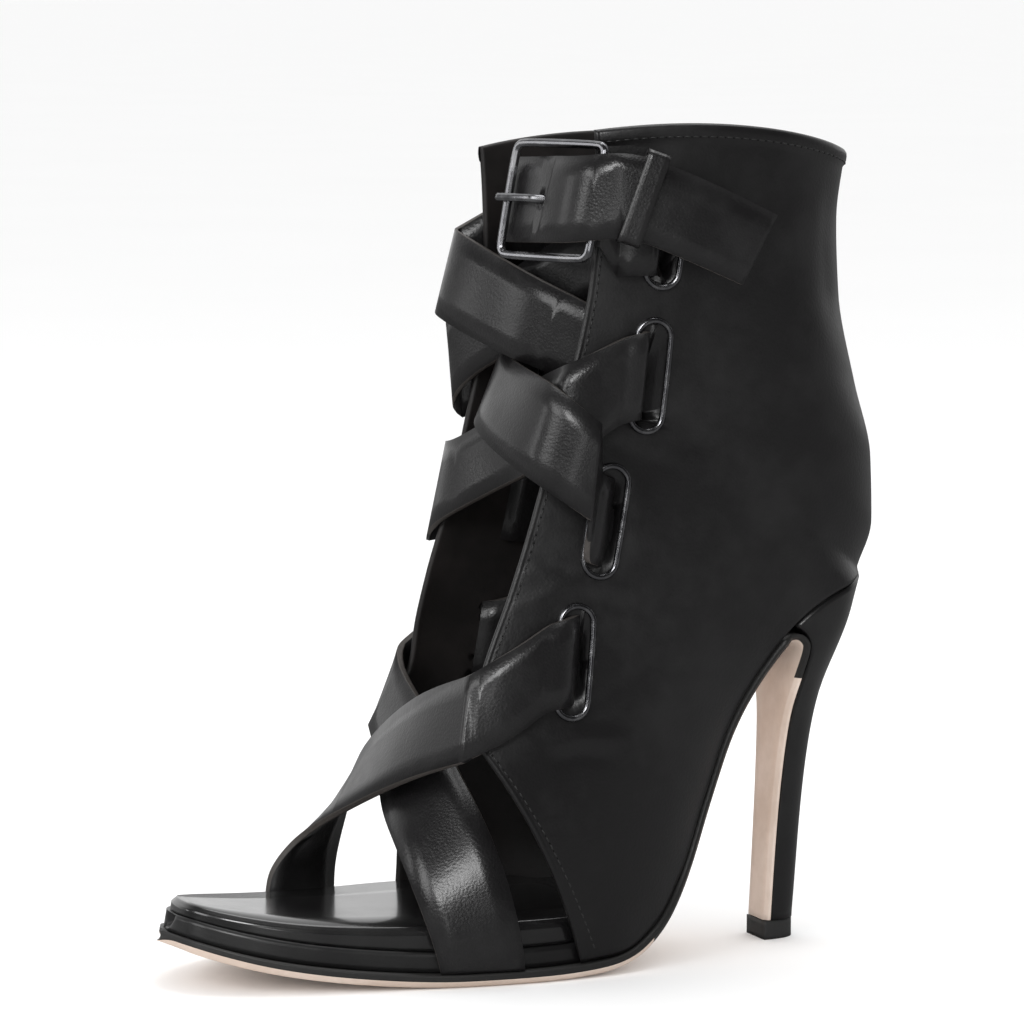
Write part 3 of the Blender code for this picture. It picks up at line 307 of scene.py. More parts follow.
@dataclass(frozen=True)
class PlainFinish:
    """Thread, rubber, a painted edge or the stitch holes' painted shade: one colour with fine noise."""

    name: str
    color: tuple[float, float, float]
    pale_color: tuple[float, float, float]
    roughness: float
    scale: float = 1500.0
    depth: float = 0.4

    def build(self, effects: SharedEffects) -> bpy.types.Material:
        """Makes the material."""
        made, shader = start_material(self.name)
        tree = made.node_tree
        fine = texture(tree, "ShaderNodeTexNoise", self.scale, Detail=4.0)
        color = mixed_color(tree, fine.outputs["Fac"], self.color, self.pale_color)
        tree.links.new(color, shader.inputs["Base Color"])
        gloss = ranged(tree, fine.outputs["Fac"], self.roughness - 0.08, self.roughness + 0.08)
        tree.links.new(gloss, shader.inputs["Roughness"])
        normal = add_bump(tree, fine.outputs["Fac"], self.depth, 0.0001)
        tree.links.new(normal, shader.inputs["Normal"])
        return made


class Finishes:
    """Every material of the boot, built once."""

    def __init__(self) -> None:
        """Builds the materials."""
        effects = SharedEffects()
        self.upper = LeatherFinish(
            "satin_upper_leather", (0.0065, 0.006, 0.0065), (0.011, 0.0105, 0.011), 0.36, 0.48,
            grain_depth=0.3, coat=0.1, coat_roughness=0.28).build(effects)
        self.strap = LeatherFinish(
            "glossy_strap_leather", (0.0075, 0.007, 0.0075), (0.012, 0.0115, 0.012), 0.3, 0.42,
            grain=1300.0, waves=80.0, grain_depth=0.38, coat=0.22, coat_roughness=0.2).build(effects)
        self.footbed = LeatherFinish(
            "polished_footbed_leather", (0.007, 0.0065, 0.007), (0.011, 0.011, 0.011), 0.2, 0.27,
            grain_depth=0.06, coat=0.7, coat_roughness=0.1).build(effects)
        self.lining = LeatherFinish(
            "dark_lining_leather", (0.01, 0.008, 0.0075), (0.017, 0.012, 0.011), 0.5, 0.62,
            grain_depth=0.2).build(effects)
        self.cover = LeatherFinish(
            "heel_cover_leather", (0.007, 0.0065, 0.007), (0.011, 0.011, 0.011), 0.3, 0.4,
            grain_depth=0.15, coat=0.25, coat_roughness=0.18).build(effects)
        self.sole = LeatherFinish(
            "natural_sole_leather", (0.72, 0.6, 0.52), (0.62, 0.5, 0.42), 0.42, 0.55,
            grain=500.0, waves=30.0, grain_depth=0.15, wear=0.35).build(effects)
        self.edge = PlainFinish(
            "black_edge_paint", (0.012, 0.012, 0.012), (0.022, 0.021, 0.02), 0.42).build(effects)
        self.thread = PlainFinish(
            "black_waxed_thread", (0.012, 0.012, 0.012), (0.03, 0.03, 0.03), 0.5, 4000.0).build(effects)
        # The stitch holes' near-black colour is painted shade: it stands in for the dark inside of each needle hole.
        self.hole_shade = PlainFinish(
            "painted_pinhole_shade", (0.001, 0.001, 0.001), (0.002, 0.002, 0.002), 0.9).build(effects)
        self.raw_edge = PlainFinish(
            "raw_strap_edge", (0.035, 0.03, 0.027), (0.075, 0.066, 0.06), 0.55, 900.0, 0.8).build(effects)
        self.rubber = PlainFinish(
            "black_top_piece_rubber", (0.015, 0.015, 0.015), (0.03, 0.03, 0.03), 0.62).build(effects)
        self.metal = MetalFinish("gunmetal_plating").build(effects)


def finish_piece(name: str, bm: bmesh.types.BMesh, materials: Sequence[bpy.types.Material], slot: Slot,
                 nodes: Sequence[str] = (), smooth_angle: float = 60.0) -> bpy.types.Object:
    """Turns a bmesh into a shown piece that rides on the boot.

    Args:
        name: the piece's name.
        bm: its mesh, freed here.
        materials: its materials in the order of the faces' indices.
        slot: the record's slot; not used.
        nodes: the frame's nodes that it stands for.
        smooth_angle: edges sharper than this many degrees stay sharp.

    Returns:
        The new object.
    """
    mesh = bpy.data.meshes.new(name)
    bm.to_mesh(mesh)
    bm.free()
    for material in materials:
        mesh.materials.append(material)
    mesh.shade_smooth()
    mesh.set_sharp_from_angle(angle=math.radians(smooth_angle))
    made = bpy.data.objects.new(name, mesh)
    bpy.context.scene.collection.objects.link(made)
    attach(made, BODY)
    if nodes:
        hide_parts(*nodes)
    LOG.info("%s: %d faces", name, len(mesh.polygons))
    return made


def monotone(values: Sequence[float], place: float, flat_start: bool = False, flat_end: bool = False) -> float:
    """Reads equally spaced values at a place from 0 to 1, on a cubic that never overshoots.

    Args:
        values: the spaced values.
        place: where to read them.
        flat_start: whether the curve starts level.
        flat_end: whether the curve ends level.

    Returns:
        The value there.
    """
    last = len(values) - 1
    steps = [values[i + 1] - values[i] for i in range(last)]

    def slope(i: int) -> float:
        """The slope at one of the values."""
        if i == 0:
            return 0.0 if flat_start else steps[0]
        if i == last:
            return 0.0 if flat_end else steps[-1]
        before, after = steps[i - 1], steps[i]
        if before * after <= 0.0:
            return 0.0
        return 2.0 * before * after / (before + after)

    spot = min(max(place, 0.0), 1.0) * last
    i = min(int(spot), last - 1)
    t = spot - i
    return ((1 + 2 * t) * (1 - t) ** 2 * values[i] + t * (1 - t) ** 2 * slope(i)
            + t * t * (3 - 2 * t) * values[i + 1] + t * t * (t - 1) * slope(i + 1))


@dataclass
class LastForm:
    """The form of the last, as in the part's source: the feather line and the quarters' rows.

    Table rows are shares of the named sizes.
    """

    toe_reach: float = 83.5 * MM
    heel_reach: float = 129 * MM
    ball_width: float = 78 * MM
    waist_width: float = 34 * MM
    seat_width: float = 46 * MM
    toe_spring: float = 12 * MM
    seat_height: float = 105 * MM
    outsole_thickness: float = 4 * MM
    collar_height: float = 239.5 * MM
    collar_width: float = 66 * MM
    collar_arch: float = 5 * MM
    collar_back_drop: float = 8 * MM
    instep_height: float = 72 * MM
    front_reach: float = 37 * MM
    medial_drop: float = 6 * MM
    widest_place: float = 0.55
    lateral_start: float = 7.45 / 17
    medial_start: float = 6.3 / 17
    seat_row: int = 8
    limit: float = 0.999
    # along, rise, lateral and medial of the feather line
    sole_line: tuple[tuple[float, float, float, float], ...] = field(init=False)
    # lateral front, medial front, height, lateral edge, widest, medial edge, widest, feather, bow
    rows: tuple[tuple[float, ...], ...] = (
        (-0.16, -0.08, 0.00, 0.47, 0.610, -0.50, -0.610, 0.000, 0.7),
        (-0.05, 0.05, 0.065, 0.455, 0.585, -0.47, -0.590, 0.120, 0.2),
        (0.08, 0.09, 0.137, 0.44, 0.555, -0.45, -0.555, 0.240, 0.0),
        (0.24, 0.17, 0.221, 0.43, 0.530, -0.43, -0.520, 0.355, 0.0),
        (0.38, 0.28, 0.305, 0.42, 0.510, -0.42, -0.490, 0.465, 0.0),
        (0.50, 0.39, 0.388, 0.415, 0.500, -0.41, -0.475, 0.580, 0.0),
        (0.63, 0.47, 0.478, 0.41, 0.492, -0.40, -0.465, 0.700, 0.0),
        (0.76, 0.56, 0.573, 0.405, 0.490, -0.39, -0.460, 0.840, 0.0),
        (0.85, 0.60, 0.645, 0.40, 0.490, -0.38, -0.460, 1.000, 0.0),
        (0.93, 0.62, 0.728, 0.40, 0.490, -0.37, -0.460, 1.000, 0.0),
        (0.97, 0.62, 0.800, 0.40, 0.492, -0.37, -0.462, 1.000, 0.0),
        (1.00, 0.61, 0.860, 0.395, 0.495, -0.36, -0.465, 1.000, 0.0),
        (1.00, 0.60, 0.920, 0.395, 0.500, -0.36, -0.470, 1.000, 0.1),
        (0.99, 0.59, 0.962, 0.39, 0.505, -0.36, -0.475, 1.000, 0.5),
        (0.98, 0.58, 1.000, 0.39, 0.510, -0.36, -0.480, 1.000, 1.0),
    )
    # place and height of the back seam, a row for each row above seat_row
    back_seam: tuple[tuple[float, float], ...] = (
        (1.000, 0.000), (1.035, 0.110), (1.030, 0.265), (0.985, 0.447),
        (0.942, 0.657), (0.934, 0.835), (0.955, 1.000),
    )

    def __post_init__(self) -> None:
        """Works out the feather line in metres."""
        toe, heel, ball = self.toe_reach, self.heel_reach, self.ball_width
        waist, seat = self.waist_width, self.seat_width
        spring, high = self.toe_spring, self.seat_height
        shares = (
            (toe, -1.000, spring, 1.000, ball, 0.00, 0.00), (toe, -0.972, spring, 0.960, ball, 0.13, -0.13),
            (toe, -0.885, spring, 0.780, ball, 0.225, -0.25), (toe, -0.720, spring, 0.480, ball, 0.310, -0.37),
            (toe, -0.500, spring, 0.220, ball, 0.380, -0.45), (toe, -0.240, spring, 0.040, ball, 0.440, -0.495),
            (toe, -0.080, spring, 0.000, ball, 0.475, -0.50), (heel, 0.130, spring, 0.000, ball, 0.505, -0.480),
            (heel, 0.300, high, 0.012, ball, 0.485, -0.410), (heel, 0.415, high, 0.075, waist, 0.940, -0.710),
            (heel, 0.500, high, 0.200, waist, 0.760, -0.520), (heel, 0.570, high, 0.400, waist, 0.650, -0.400),
            (heel, 0.637, high, 0.600, waist, 0.610, -0.350), (heel, 0.722, high, 0.775, seat, 0.500, -0.300),
            (heel, 0.810, high, 0.900, seat, 0.575, -0.365), (heel, 0.903, high, 0.963, seat, 0.560, -0.350),
            (heel, 0.970, high, 0.990, seat, 0.390, -0.170), (heel, 1.000, high, 1.000, seat, 0.110, 0.110),
        )
        self.sole_line = tuple((a * b, c * d, w * e, w * f) for a, b, c, d, w, e, f in shares)

    def sole_point(self, place: float, side: Side) -> Vector:
        """The feather line on one side; place runs from the toe tip, 0, to the heel's back, 1."""
        column = 2 if side is Side.LATERAL else 3
        across = monotone([row[column] for row in self.sole_line], place)
        along = monotone([row[0] for row in self.sole_line], place, True, True)
        rise = monotone([row[1] for row in self.sole_line], place)
        return Vector((across, along, self.outsole_thickness + rise))

    def sole_up(self, along: float) -> Vector:
        """The way up through the sole's layers at a distance along the shoe."""
        low, high = 0.0, 1.0
        for _ in range(20):
            place = (low + high) / 2
            if self.sole_point(place, Side.LATERAL).y < along:
                low = place
            else:
                high = place
        step = 0.004
        run = self.sole_point(min(low + step, 1.0), Side.LATERAL) - self.sole_point(max(low - step, 0.0), Side.LATERAL)
        spine = Vector((0.0, run.y, run.z)).normalized()
        return Vector((0.0, -spine.z, spine.y))

    def row_line(self, side: Side, row: float) -> tuple[Vector, Vector, float, float, float]:
        """The front and rear end, the edge's and the widest half width and the bow of a row."""
        place = row / (len(self.rows) - 1)

        def column(index: int) -> float:
            """One column of the rows' table at this row."""
            return monotone([entry[index] for entry in self.rows], place)

        lateral = side is Side.LATERAL
        drop = 0.0 if lateral else self.medial_drop * max(0.0, place * 2.0 - 1.0)
        rise = (self.collar_height - self.instep_height) * column(2)
        front = Vector((0.0, self.front_reach * column(0 if lateral else 1), self.instep_height + rise - drop))
        edge = self.collar_width * column(3 if lateral else 5)
        widest = self.collar_width * column(4 if lateral else 6)
        if row <= self.seat_row:
            start = self.lateral_start if lateral else self.medial_start
            rear = self.sole_point(start + (1.0 - start) * column(7), side)
        else:
            seam = (row - self.seat_row) / (len(self.back_seam) - 1)
            seat = self.sole_point(1.0, side)
            top = self.collar_height - self.collar_back_drop
            along = self.heel_reach * monotone([entry[0] for entry in self.back_seam], seam)
            height = seat.z + (top - seat.z) * monotone([entry[1] for entry in self.back_seam], seam)
            rear = Vector((seat.x, along, height))
        return front, rear, edge, widest, self.collar_arch * column(8)

    def row_points(self, side: Side, row: float, shares: Sequence[float]) -> list[Vector]:
        """Points of a quarter's outer face along a row, by their shares of the way to its rear end."""
        front, rear, edge, widest, bow = self.row_line(side, row)
        swing = self.sole_point(1.0, side).x
        front_turn = math.acos(min(edge / widest, self.limit))
        rear_turn = math.acos(max(min((rear.x - swing) / (widest - swing), self.limit), 0.0))
        chord = Vector((0.0, rear.y - front.y, rear.z - front.z))
        normal = Vector((0.0, -chord.z, chord.y)).normalized()
        points = []
        for share in shares:
            turn = share * (front_turn + rear_turn) - front_turn
            if turn < 0.0:
                along = self.widest_place * (1.0 - math.sin(-turn) / math.sin(front_turn))
                across = widest * math.cos(turn)
            else:
                along = self.widest_place + (1.0 - self.widest_place) * math.sin(turn) / math.sin(rear_turn)
                across = swing + (widest - swing) * math.cos(turn)
            point = front + chord * along + normal * bow * 4 * along * (1 - along)
            points.append(Vector((across, point.y, point.z)))
        return points

    def normal_at(self, side: Side, row: float, share: float) -> Vector:
        """The way off a quarter's outer face."""
        step = 0.01
        low, high = max(row - step, 0.0), min(row + step, len(self.rows) - 1.0)
        up = self.row_points(side, high, [share])[0] - self.row_points(side, low, [share])[0]
        before, after = self.row_points(side, row, [max(share - step, 0.0), min(share + step, 1.0)])
        return ((after - before).cross(up) * side.value).normalized()

    def edge_slant(self, side: Side, row: float) -> float:
        """How much distance from the front edge a step along a row gains."""
        step = 0.02
        low, high = max(row - step, 0.0), min(row + step, len(self.rows) - 1.0)
        edge = self.row_points(side, high, [0.0])[0] - self.row_points(side, low, [0.0])[0]
        first, second = self.row_points(side, row, [0.0, 0.02])
        run = second - first
        return max(run.cross(edge).length / (run.length * edge.length), 0.3)

    def edge_share(self, side: Side, row: float, distance: float) -> float:
        """The share of a row that lies at a distance inside the front edge."""
        first, second = self.row_points(side, row, [0.0, 0.02])
        return distance / self.edge_slant(side, row) * 0.02 / (second - first).length


@dataclass(frozen=True)
class Crease:
    """A soft fold of a quarter, in side view.

    A row of points along the shoe and up, its depth, which is negative for a ridge, and its half width.
    """

    points: tuple[tuple[float, float], ...]
    depth: float
    width: float

    def depths(self, places: np.ndarray) -> np.ndarray:
        """How far each place in side view sinks.

        Args:
            places: an array of places along and up, in metres.

        Returns:
            A depth in metres for each place.
        """
        line = np.array(self.points) * MM
        best = np.full(len(places), 1.0)
        fade = np.zeros(len(places))
        lengths = np.linalg.norm(line[1:] - line[:-1], axis=1)
        total = lengths.sum()
        run = 0.0
        for start, end, length in zip(line, line[1:], lengths):
            share = np.clip(((places - start) @ (end - start)) / length ** 2, 0.0, 1.0)
            distance = np.linalg.norm(places - (start + share[:, None] * (end - start)), axis=1)
            nearer = distance < best
            best = np.where(nearer, distance, best)
            along = (run + share * length) / total
            fade = np.where(nearer, np.clip(4 * along * (1 - along) * 1.3, 0.0, 1.0), fade)
            run += length
        return self.depth * MM * fade * np.exp(-(best / (self.width * MM)) ** 2)


QUARTER_CREASES = (
    Crease(((48, 155), (52, 157), (56, 160)), 0.18, 1.0),
    Crease(((46, 153), (51, 154), (57, 156)), -0.12, 1.2),
    Crease(((60, 147), (68, 150), (76, 154)), 0.22, 1.6),
    Crease(((58, 143), (66, 146), (75, 150)), -0.14, 2.0),
    Crease(((38, 153), (42, 150), (47, 147), (53, 145), (62, 144)), 0.4, 2.2),
    Crease(((42, 146), (48, 143), (56, 140)), 0.2, 1.4),
    Crease(((47, 141), (49, 130), (46, 119)), -0.55, 3.0),
    Crease(((8, 105), (18, 108), (28, 113), (37, 111), (49, 107)), -0.5, 1.9),
    Crease(((12, 103), (21, 105), (29, 109), (39, 107), (50, 103)), 0.28, 1.4),
    Crease(((22, 109), (32, 114), (40, 114)), 0.22, 1.1),
    Crease(((39, 115), (46, 118), (50, 121)), 0.2, 1.0),
    Crease(((7, 118), (18, 119), (25, 115), (33, 113)), 0.26, 1.2),
    Crease(((9, 114), (18, 116), (24, 113), (32, 110)), -0.16, 1.3),
    Crease(((9, 109), (20, 110), (25, 111), (30, 113)), 0.22, 1.0),
    Crease(((10, 104), (19, 107), (25, 108)), 0.2, 0.9),
    Crease(((16, 122), (22, 118), (28, 115)), 0.18, 1.0),
    Crease(((12, 123), (20, 125), (26, 124)), 0.16, 1.1),
    Crease(((24, 75), (35, 79), (44, 86)), 0.32, 1.2),
    Crease(((27, 73), (38, 75), (48, 79)), 0.2, 1.0),
    Crease(((26, 71), (36, 72), (47, 71)), 0.3, 1.0),
    Crease(((16, 67), (27, 69), (42, 67)), -0.7, 2.6),
    Crease(((18, 62), (28, 64), (40, 62)), 0.35, 2.0),
    Crease(((52, 193), (57, 188), (64, 185)), 0.16, 1.2),
    Crease(((64, 228), (66, 200), (63, 175)), 0.14, 6.0),
    Crease(((112, 226), (109, 205), (112, 180)), 0.35, 3.5),
    Crease(((78, 120), (90, 125), (104, 128)), 0.25, 7.0),
    Crease(((60, 90), (75, 100), (92, 108)), 0.2, 6.0),
)


@dataclass
class Rim:
    """A slot's metal rim, read from the frame: its middle, long way, across way and way off the wall."""

    node: str
    middle: Vector = field(init=False)
    along: Vector = field(init=False)
    across: Vector = field(init=False)
    off: Vector = field(init=False)

    def __post_init__(self) -> None:
        """Fits a plane to the rim's points."""
        points = np.array([tuple(v.co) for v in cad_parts[self.node].data.vertices])
        middle = (points.max(0) + points.min(0)) / 2
        ways = np.linalg.svd(points - points.mean(0), full_matrices=False)[2]
        self.middle = Vector(middle)
        self.along, self.across, self.off = (Vector(way) for way in ways)

    def outline(self, point: Vector, length: float, width: float) -> tuple[float, Vector]:
        """A point's distance outside the stadium of a length and width, and its nearest outline point."""
        away = point - self.middle
        up, out, lift = away.dot(self.along), away.dot(self.across), away.dot(self.off)
        straight = (length - width) / 2
        core = min(max(up, -straight), straight)
        reach = Vector((up - core, out))
        radius = width / 2
        if reach.length < 1e-9:
            reach = Vector((0.0, 1e-6))
        edge = reach.normalized() * radius
        nearest = self.middle + self.along * (core + edge.x) + self.across * edge.y + self.off * lift
        if abs(lift) > 9 * MM:
            return 1.0, nearest
        return reach.length - radius, nearest


@dataclass
class Upper:
    """The two quarters as one leather shell with rolled edges, a collar binding and slots."""

    finishes: Finishes
    form: LastForm
    wall: float = 2.0 * MM
    binding_height: float = 4.5 * MM
    binding_step: float = 0.35 * MM
    groove_place: float = 1.5 * MM
    groove_depth: float = 0.16 * MM
    stitch_place: float = 2.4 * MM
    columns: int = 76
    levels_per_row: int = 9
    slot_length: float = 31.6 * MM
    slot_width: float = 9.6 * MM
    lining_room: float = 0.25 * MM
    binding_bulge: float = 0.4 * MM
    edge_steps: tuple[float, ...] = (0.0, 0.08, 0.27, 0.55, 0.9, 1.2, 1.5, 1.8, 2.2, 2.7, 3.6)
    creases: tuple[Crease, ...] = QUARTER_CREASES

    def levels(self) -> list[float]:
        """The rows at which the shell has points, close together at the lower edge and the collar."""
        lower = 11.5
        upper = 6.4
        last = len(self.form.rows) - 1.0
        starts = [step / lower for step in self.edge_steps]
        ends = [last - step / upper for step in (*self.edge_steps, 4.1, 4.4, 4.6, 4.9, 5.4)]
        first, stop = starts[-1], min(ends)
        count = int((stop - first) * self.levels_per_row)
        middle = [first + (stop - first) * i / count for i in range(1, count)]
        return sorted(set(starts + middle + ends))

    def grid(self, side: Side) -> tuple[np.ndarray, np.ndarray]:
        """The outer face's points and normals, by level and column."""
        points = []
        for row in self.levels():
            firsts = [self.form.edge_share(side, row, step * MM) for step in self.edge_steps]
            rest = self.columns - len(firsts)
            shares = firsts + [firsts[-1] + (1 - firsts[-1]) * i / rest for i in range(1, rest + 1)]
            points.append([tuple(point) for point in self.form.row_points(side, row, shares)])
        grid = np.array(points)
        ahead = np.gradient(grid, axis=1)
        up = np.gradient(grid, axis=0)
        normals = np.cross(ahead, up) * side.value
        normals /= np.linalg.norm(normals, axis=2, keepdims=True)
        return grid, normals

    def edge_distance(self, grid: np.ndarray) -> tuple[np.ndarray, np.ndarray]:
        """Each point's distance from the open front edges and from the collar."""
        flat = grid.reshape(-1, 3)

        def nearest(line: np.ndarray) -> np.ndarray:
            """The distance to a line of points."""
            best = np.full(len(flat), 1.0)
            for start, end in zip(line, line[1:]):
                run = end - start
                share = np.clip(((flat - start) @ run) / (run @ run), 0.0, 1.0)
                best = np.minimum(best, np.linalg.norm(flat - (start + share[:, None] * run), axis=1))
            return best

        front = np.minimum(nearest(grid[:, 0]), nearest(grid[0]))
        return front.reshape(grid.shape[:2]), nearest(grid[-1]).reshape(grid.shape[:2])

    def depth(self, grid: np.ndarray, side: Side) -> tuple[np.ndarray, np.ndarray]:
        """How far the outer and the inner face lie under the form's own face."""
        front, collar = self.edge_distance(grid)
        edge = np.minimum(front, collar)
        radius = self.wall / 2
        inner = np.clip(radius - edge, 0.0, radius)
        roll = radius - np.sqrt(radius ** 2 - inner ** 2)
        groove = self.groove_depth * np.exp(-((front - self.groove_place) / (0.35 * MM)) ** 2)
        seat = np.exp(-((front - self.stitch_place) / (0.5 * MM)) ** 2) * 0.08 * MM
        step = np.clip((self.binding_height - collar) / (0.25 * MM) + 0.5, 0.0, 1.0) * self.binding_step
        puff = np.clip(collar / self.binding_height, 0.0, 1.0)
        bulge = np.sin(np.pi * puff) * self.binding_bulge
        outer = roll + groove + seat - step - bulge
        places = grid[:, :, 1:].reshape(-1, 2)
        folds = np.zeros(len(places))
        for crease in self.creases:
            folds += crease.depths(places)
        share = 1.0 if side is Side.LATERAL else 0.5
        keep = np.clip(edge / (2 * MM), 0.0, 1.0)
        outer += folds.reshape(outer.shape) * keep * share
        return outer, self.wall - roll

    def build(self, rims: dict[Side, list[Rim]]) -> bpy.types.Object:
        """Makes the shell.

        Args:
            rims: the slots' rims on each side.

        Returns:
            The upper, which replaces the frame's own.
        """
        grids = {side: self.grid(side) for side in Side}
        seam_from = next(i for i, row in enumerate(self.levels()) if row > self.form.seat_row)
        lateral, medial = grids[Side.LATERAL][1], grids[Side.MEDIAL][1]
        shared = lateral[seam_from:, -1] + medial[seam_from:, -1]
        shared /= np.linalg.norm(shared, axis=1, keepdims=True)
        lateral[seam_from:, -1] = shared
        medial[seam_from:, -1] = shared
        bm = bmesh.new()
        for side in Side:
            grid, normals = grids[side]
            outer, inner = self.depth(grid, side)
            outer[:seam_from, -1] = self.wall / 2
            inner[:seam_from, -1] = self.wall / 2
            outer[seam_from:, -1] += 0.25 * MM
            faces = self.open_cells(grid, rims[side])
            self.add_sheet(bm, grid - normals * outer[:, :, None], side, False, faces, rims[side])
            lining = grid - normals * inner[:, :, None]
            self.add_sheet(bm, lining, side, True, self.near_straps(lining, faces), ())
        bmesh.ops.remove_doubles(bm, verts=bm.verts, dist=0.01 * MM)
        self.close_slots(bm)
        return finish_piece("upper_shell", bm, (self.finishes.upper, self.finishes.lining), Slot.LEATHER,
                            ("upper",), 180.0)

    def open_cells(self, grid: np.ndarray, rims: Sequence[Rim]) -> set[tuple[int, int]]:
        """The cells of the grid that lie inside a slot."""
        gone = set()
        middles = (grid[:-1, :-1] + grid[1:, :-1] + grid[:-1, 1:] + grid[1:, 1:]) / 4
        for rim in rims:
            near = np.linalg.norm(middles - np.array(rim.middle), axis=2) < self.slot_length
            for i, j in np.argwhere(near):
                point = Vector(middles[i, j])
                if rim.outline(point, self.slot_length, self.slot_width)[0] < 0.0:
                    gone.add((int(i), int(j)))
        return gone

    def near_straps(self, places: np.ndarray, cells: set[tuple[int, int]]) -> set[tuple[int, int]]:
        """Of a slot's cells, those that a strap passes through, where the lining is cut away."""
        trees = []
        for node in ("strap_inner_root", "strap_outer_root", "strap_buckle_base", "strap_loose_end"):
            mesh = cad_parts[node].data
            points = [vert.co for vert in mesh.vertices]
            trees.append(BVHTree.FromPolygons(points, [tuple(face.vertices) for face in mesh.polygons]))
        near = set()
        for i, j in cells:
            middle = Vector((places[i, j] + places[i + 1, j + 1]) / 2)
            if any(tree.find_nearest(middle, self.lining_room)[0] is not None for tree in trees):
                near.add((i, j))
        return near

    def add_sheet(self, bm: bmesh.types.BMesh, places: np.ndarray, side: Side, inside: bool,
                  gone: set[tuple[int, int]], rims: Sequence[Rim]) -> None:
        """Adds one face of a quarter from a grid whose points are moved to their places.

        Args:
            bm: the mesh to add to.
            places: where each point goes, by level and column.
            side: the quarter.
            inside: whether this is the inner face.
            gone: the cells that a slot takes out.
            rims: the slots' rims.
        """
        levels, columns = places.shape[:2]
        sheet = bmesh.new()
        bmesh.ops.create_grid(sheet, x_segments=columns - 1, y_segments=levels - 1, size=0.5)
        cells = []
        for face in sheet.faces:
            middle = face.calc_center_median()
            cell = (int((middle.y + 0.5) * (levels - 1)), int((middle.x + 0.5) * (columns - 1)))
            if cell in gone:
                cells.append(face)
        bmesh.ops.delete(sheet, geom=cells, context="FACES")
        for vert in sheet.verts:
            j = round((vert.co.x + 0.5) * (columns - 1))
            i = round((vert.co.y + 0.5) * (levels - 1))
            vert.co = Vector(places[i, j])
            if vert.is_boundary and 0 < i < levels - 1 and 0 < j < columns - 1:
                for rim in rims:
                    away, nearest = rim.outline(vert.co, self.slot_length, self.slot_width)
                    if abs(away) < 2 * MM:
                        vert.co = nearest
        if (side is Side.MEDIAL) != inside:
            bmesh.ops.reverse_faces(sheet, faces=sheet.faces)
        if inside:
            border = [vert for vert in sheet.verts if vert.is_boundary and not self.on_rim_of_grid(vert, places)]
            for _ in range(2):
                bmesh.ops.smooth_vert(sheet, verts=border, factor=0.5, use_axis_x=True, use_axis_y=True,
                                      use_axis_z=True)
        for face in sheet.faces:
            face.material_index = 1 if inside else 0
            face.smooth = True
        mesh = bpy.data.meshes.new("sheet")
        sheet.to_mesh(mesh)
        sheet.free()
        bm.from_mesh(mesh)
        bpy.data.meshes.remove(mesh)

    def on_rim_of_grid(self, vert: bmesh.types.BMVert, places: np.ndarray) -> bool:
        """Whether a point lies on the outer border of a quarter's grid."""
        border = np.concatenate((places[0], places[-1], places[:, 0], places[:, -1]))
        return bool((np.abs(border - np.array(vert.co)).max(axis=1) < 1e-7).any())

    def close_slots(self, bm: bmesh.types.BMesh) -> None:
        """Joins the outer and the inner face round each slot."""
        loops = self.boundary_loops([edge for edge in bm.edges if edge.is_boundary])
        while len(loops) > 1:
            first = loops.pop()
            second = min(loops, key=lambda loop: (loop[1] - first[1]).length)
            if (second[1] - first[1]).length > self.slot_length / 2:
                LOG.warning("an open loop near %s has no partner", first[1])
                continue
            loops.remove(second)
            bmesh.ops.bridge_loops(bm, edges=first[0] + second[0])

    def boundary_loops(self, edges: list[bmesh.types.BMEdge]) -> list[tuple[list[bmesh.types.BMEdge], Vector]]:
        """Sorts open edges into loops, each with its middle."""
        left = set(edges)
        loops = []
        while left:
            found = [left.pop()]
            queue = list(found)
            while queue:
                edge = queue.pop()
                for vert in edge.verts:
                    for other in vert.link_edges:
                        if other in left:
                            left.remove(other)
                            found.append(other)
                            queue.append(other)
            middle = sum((edge.verts[0].co for edge in found), Vector()) / len(found)
            loops.append((found, middle))
        return loops


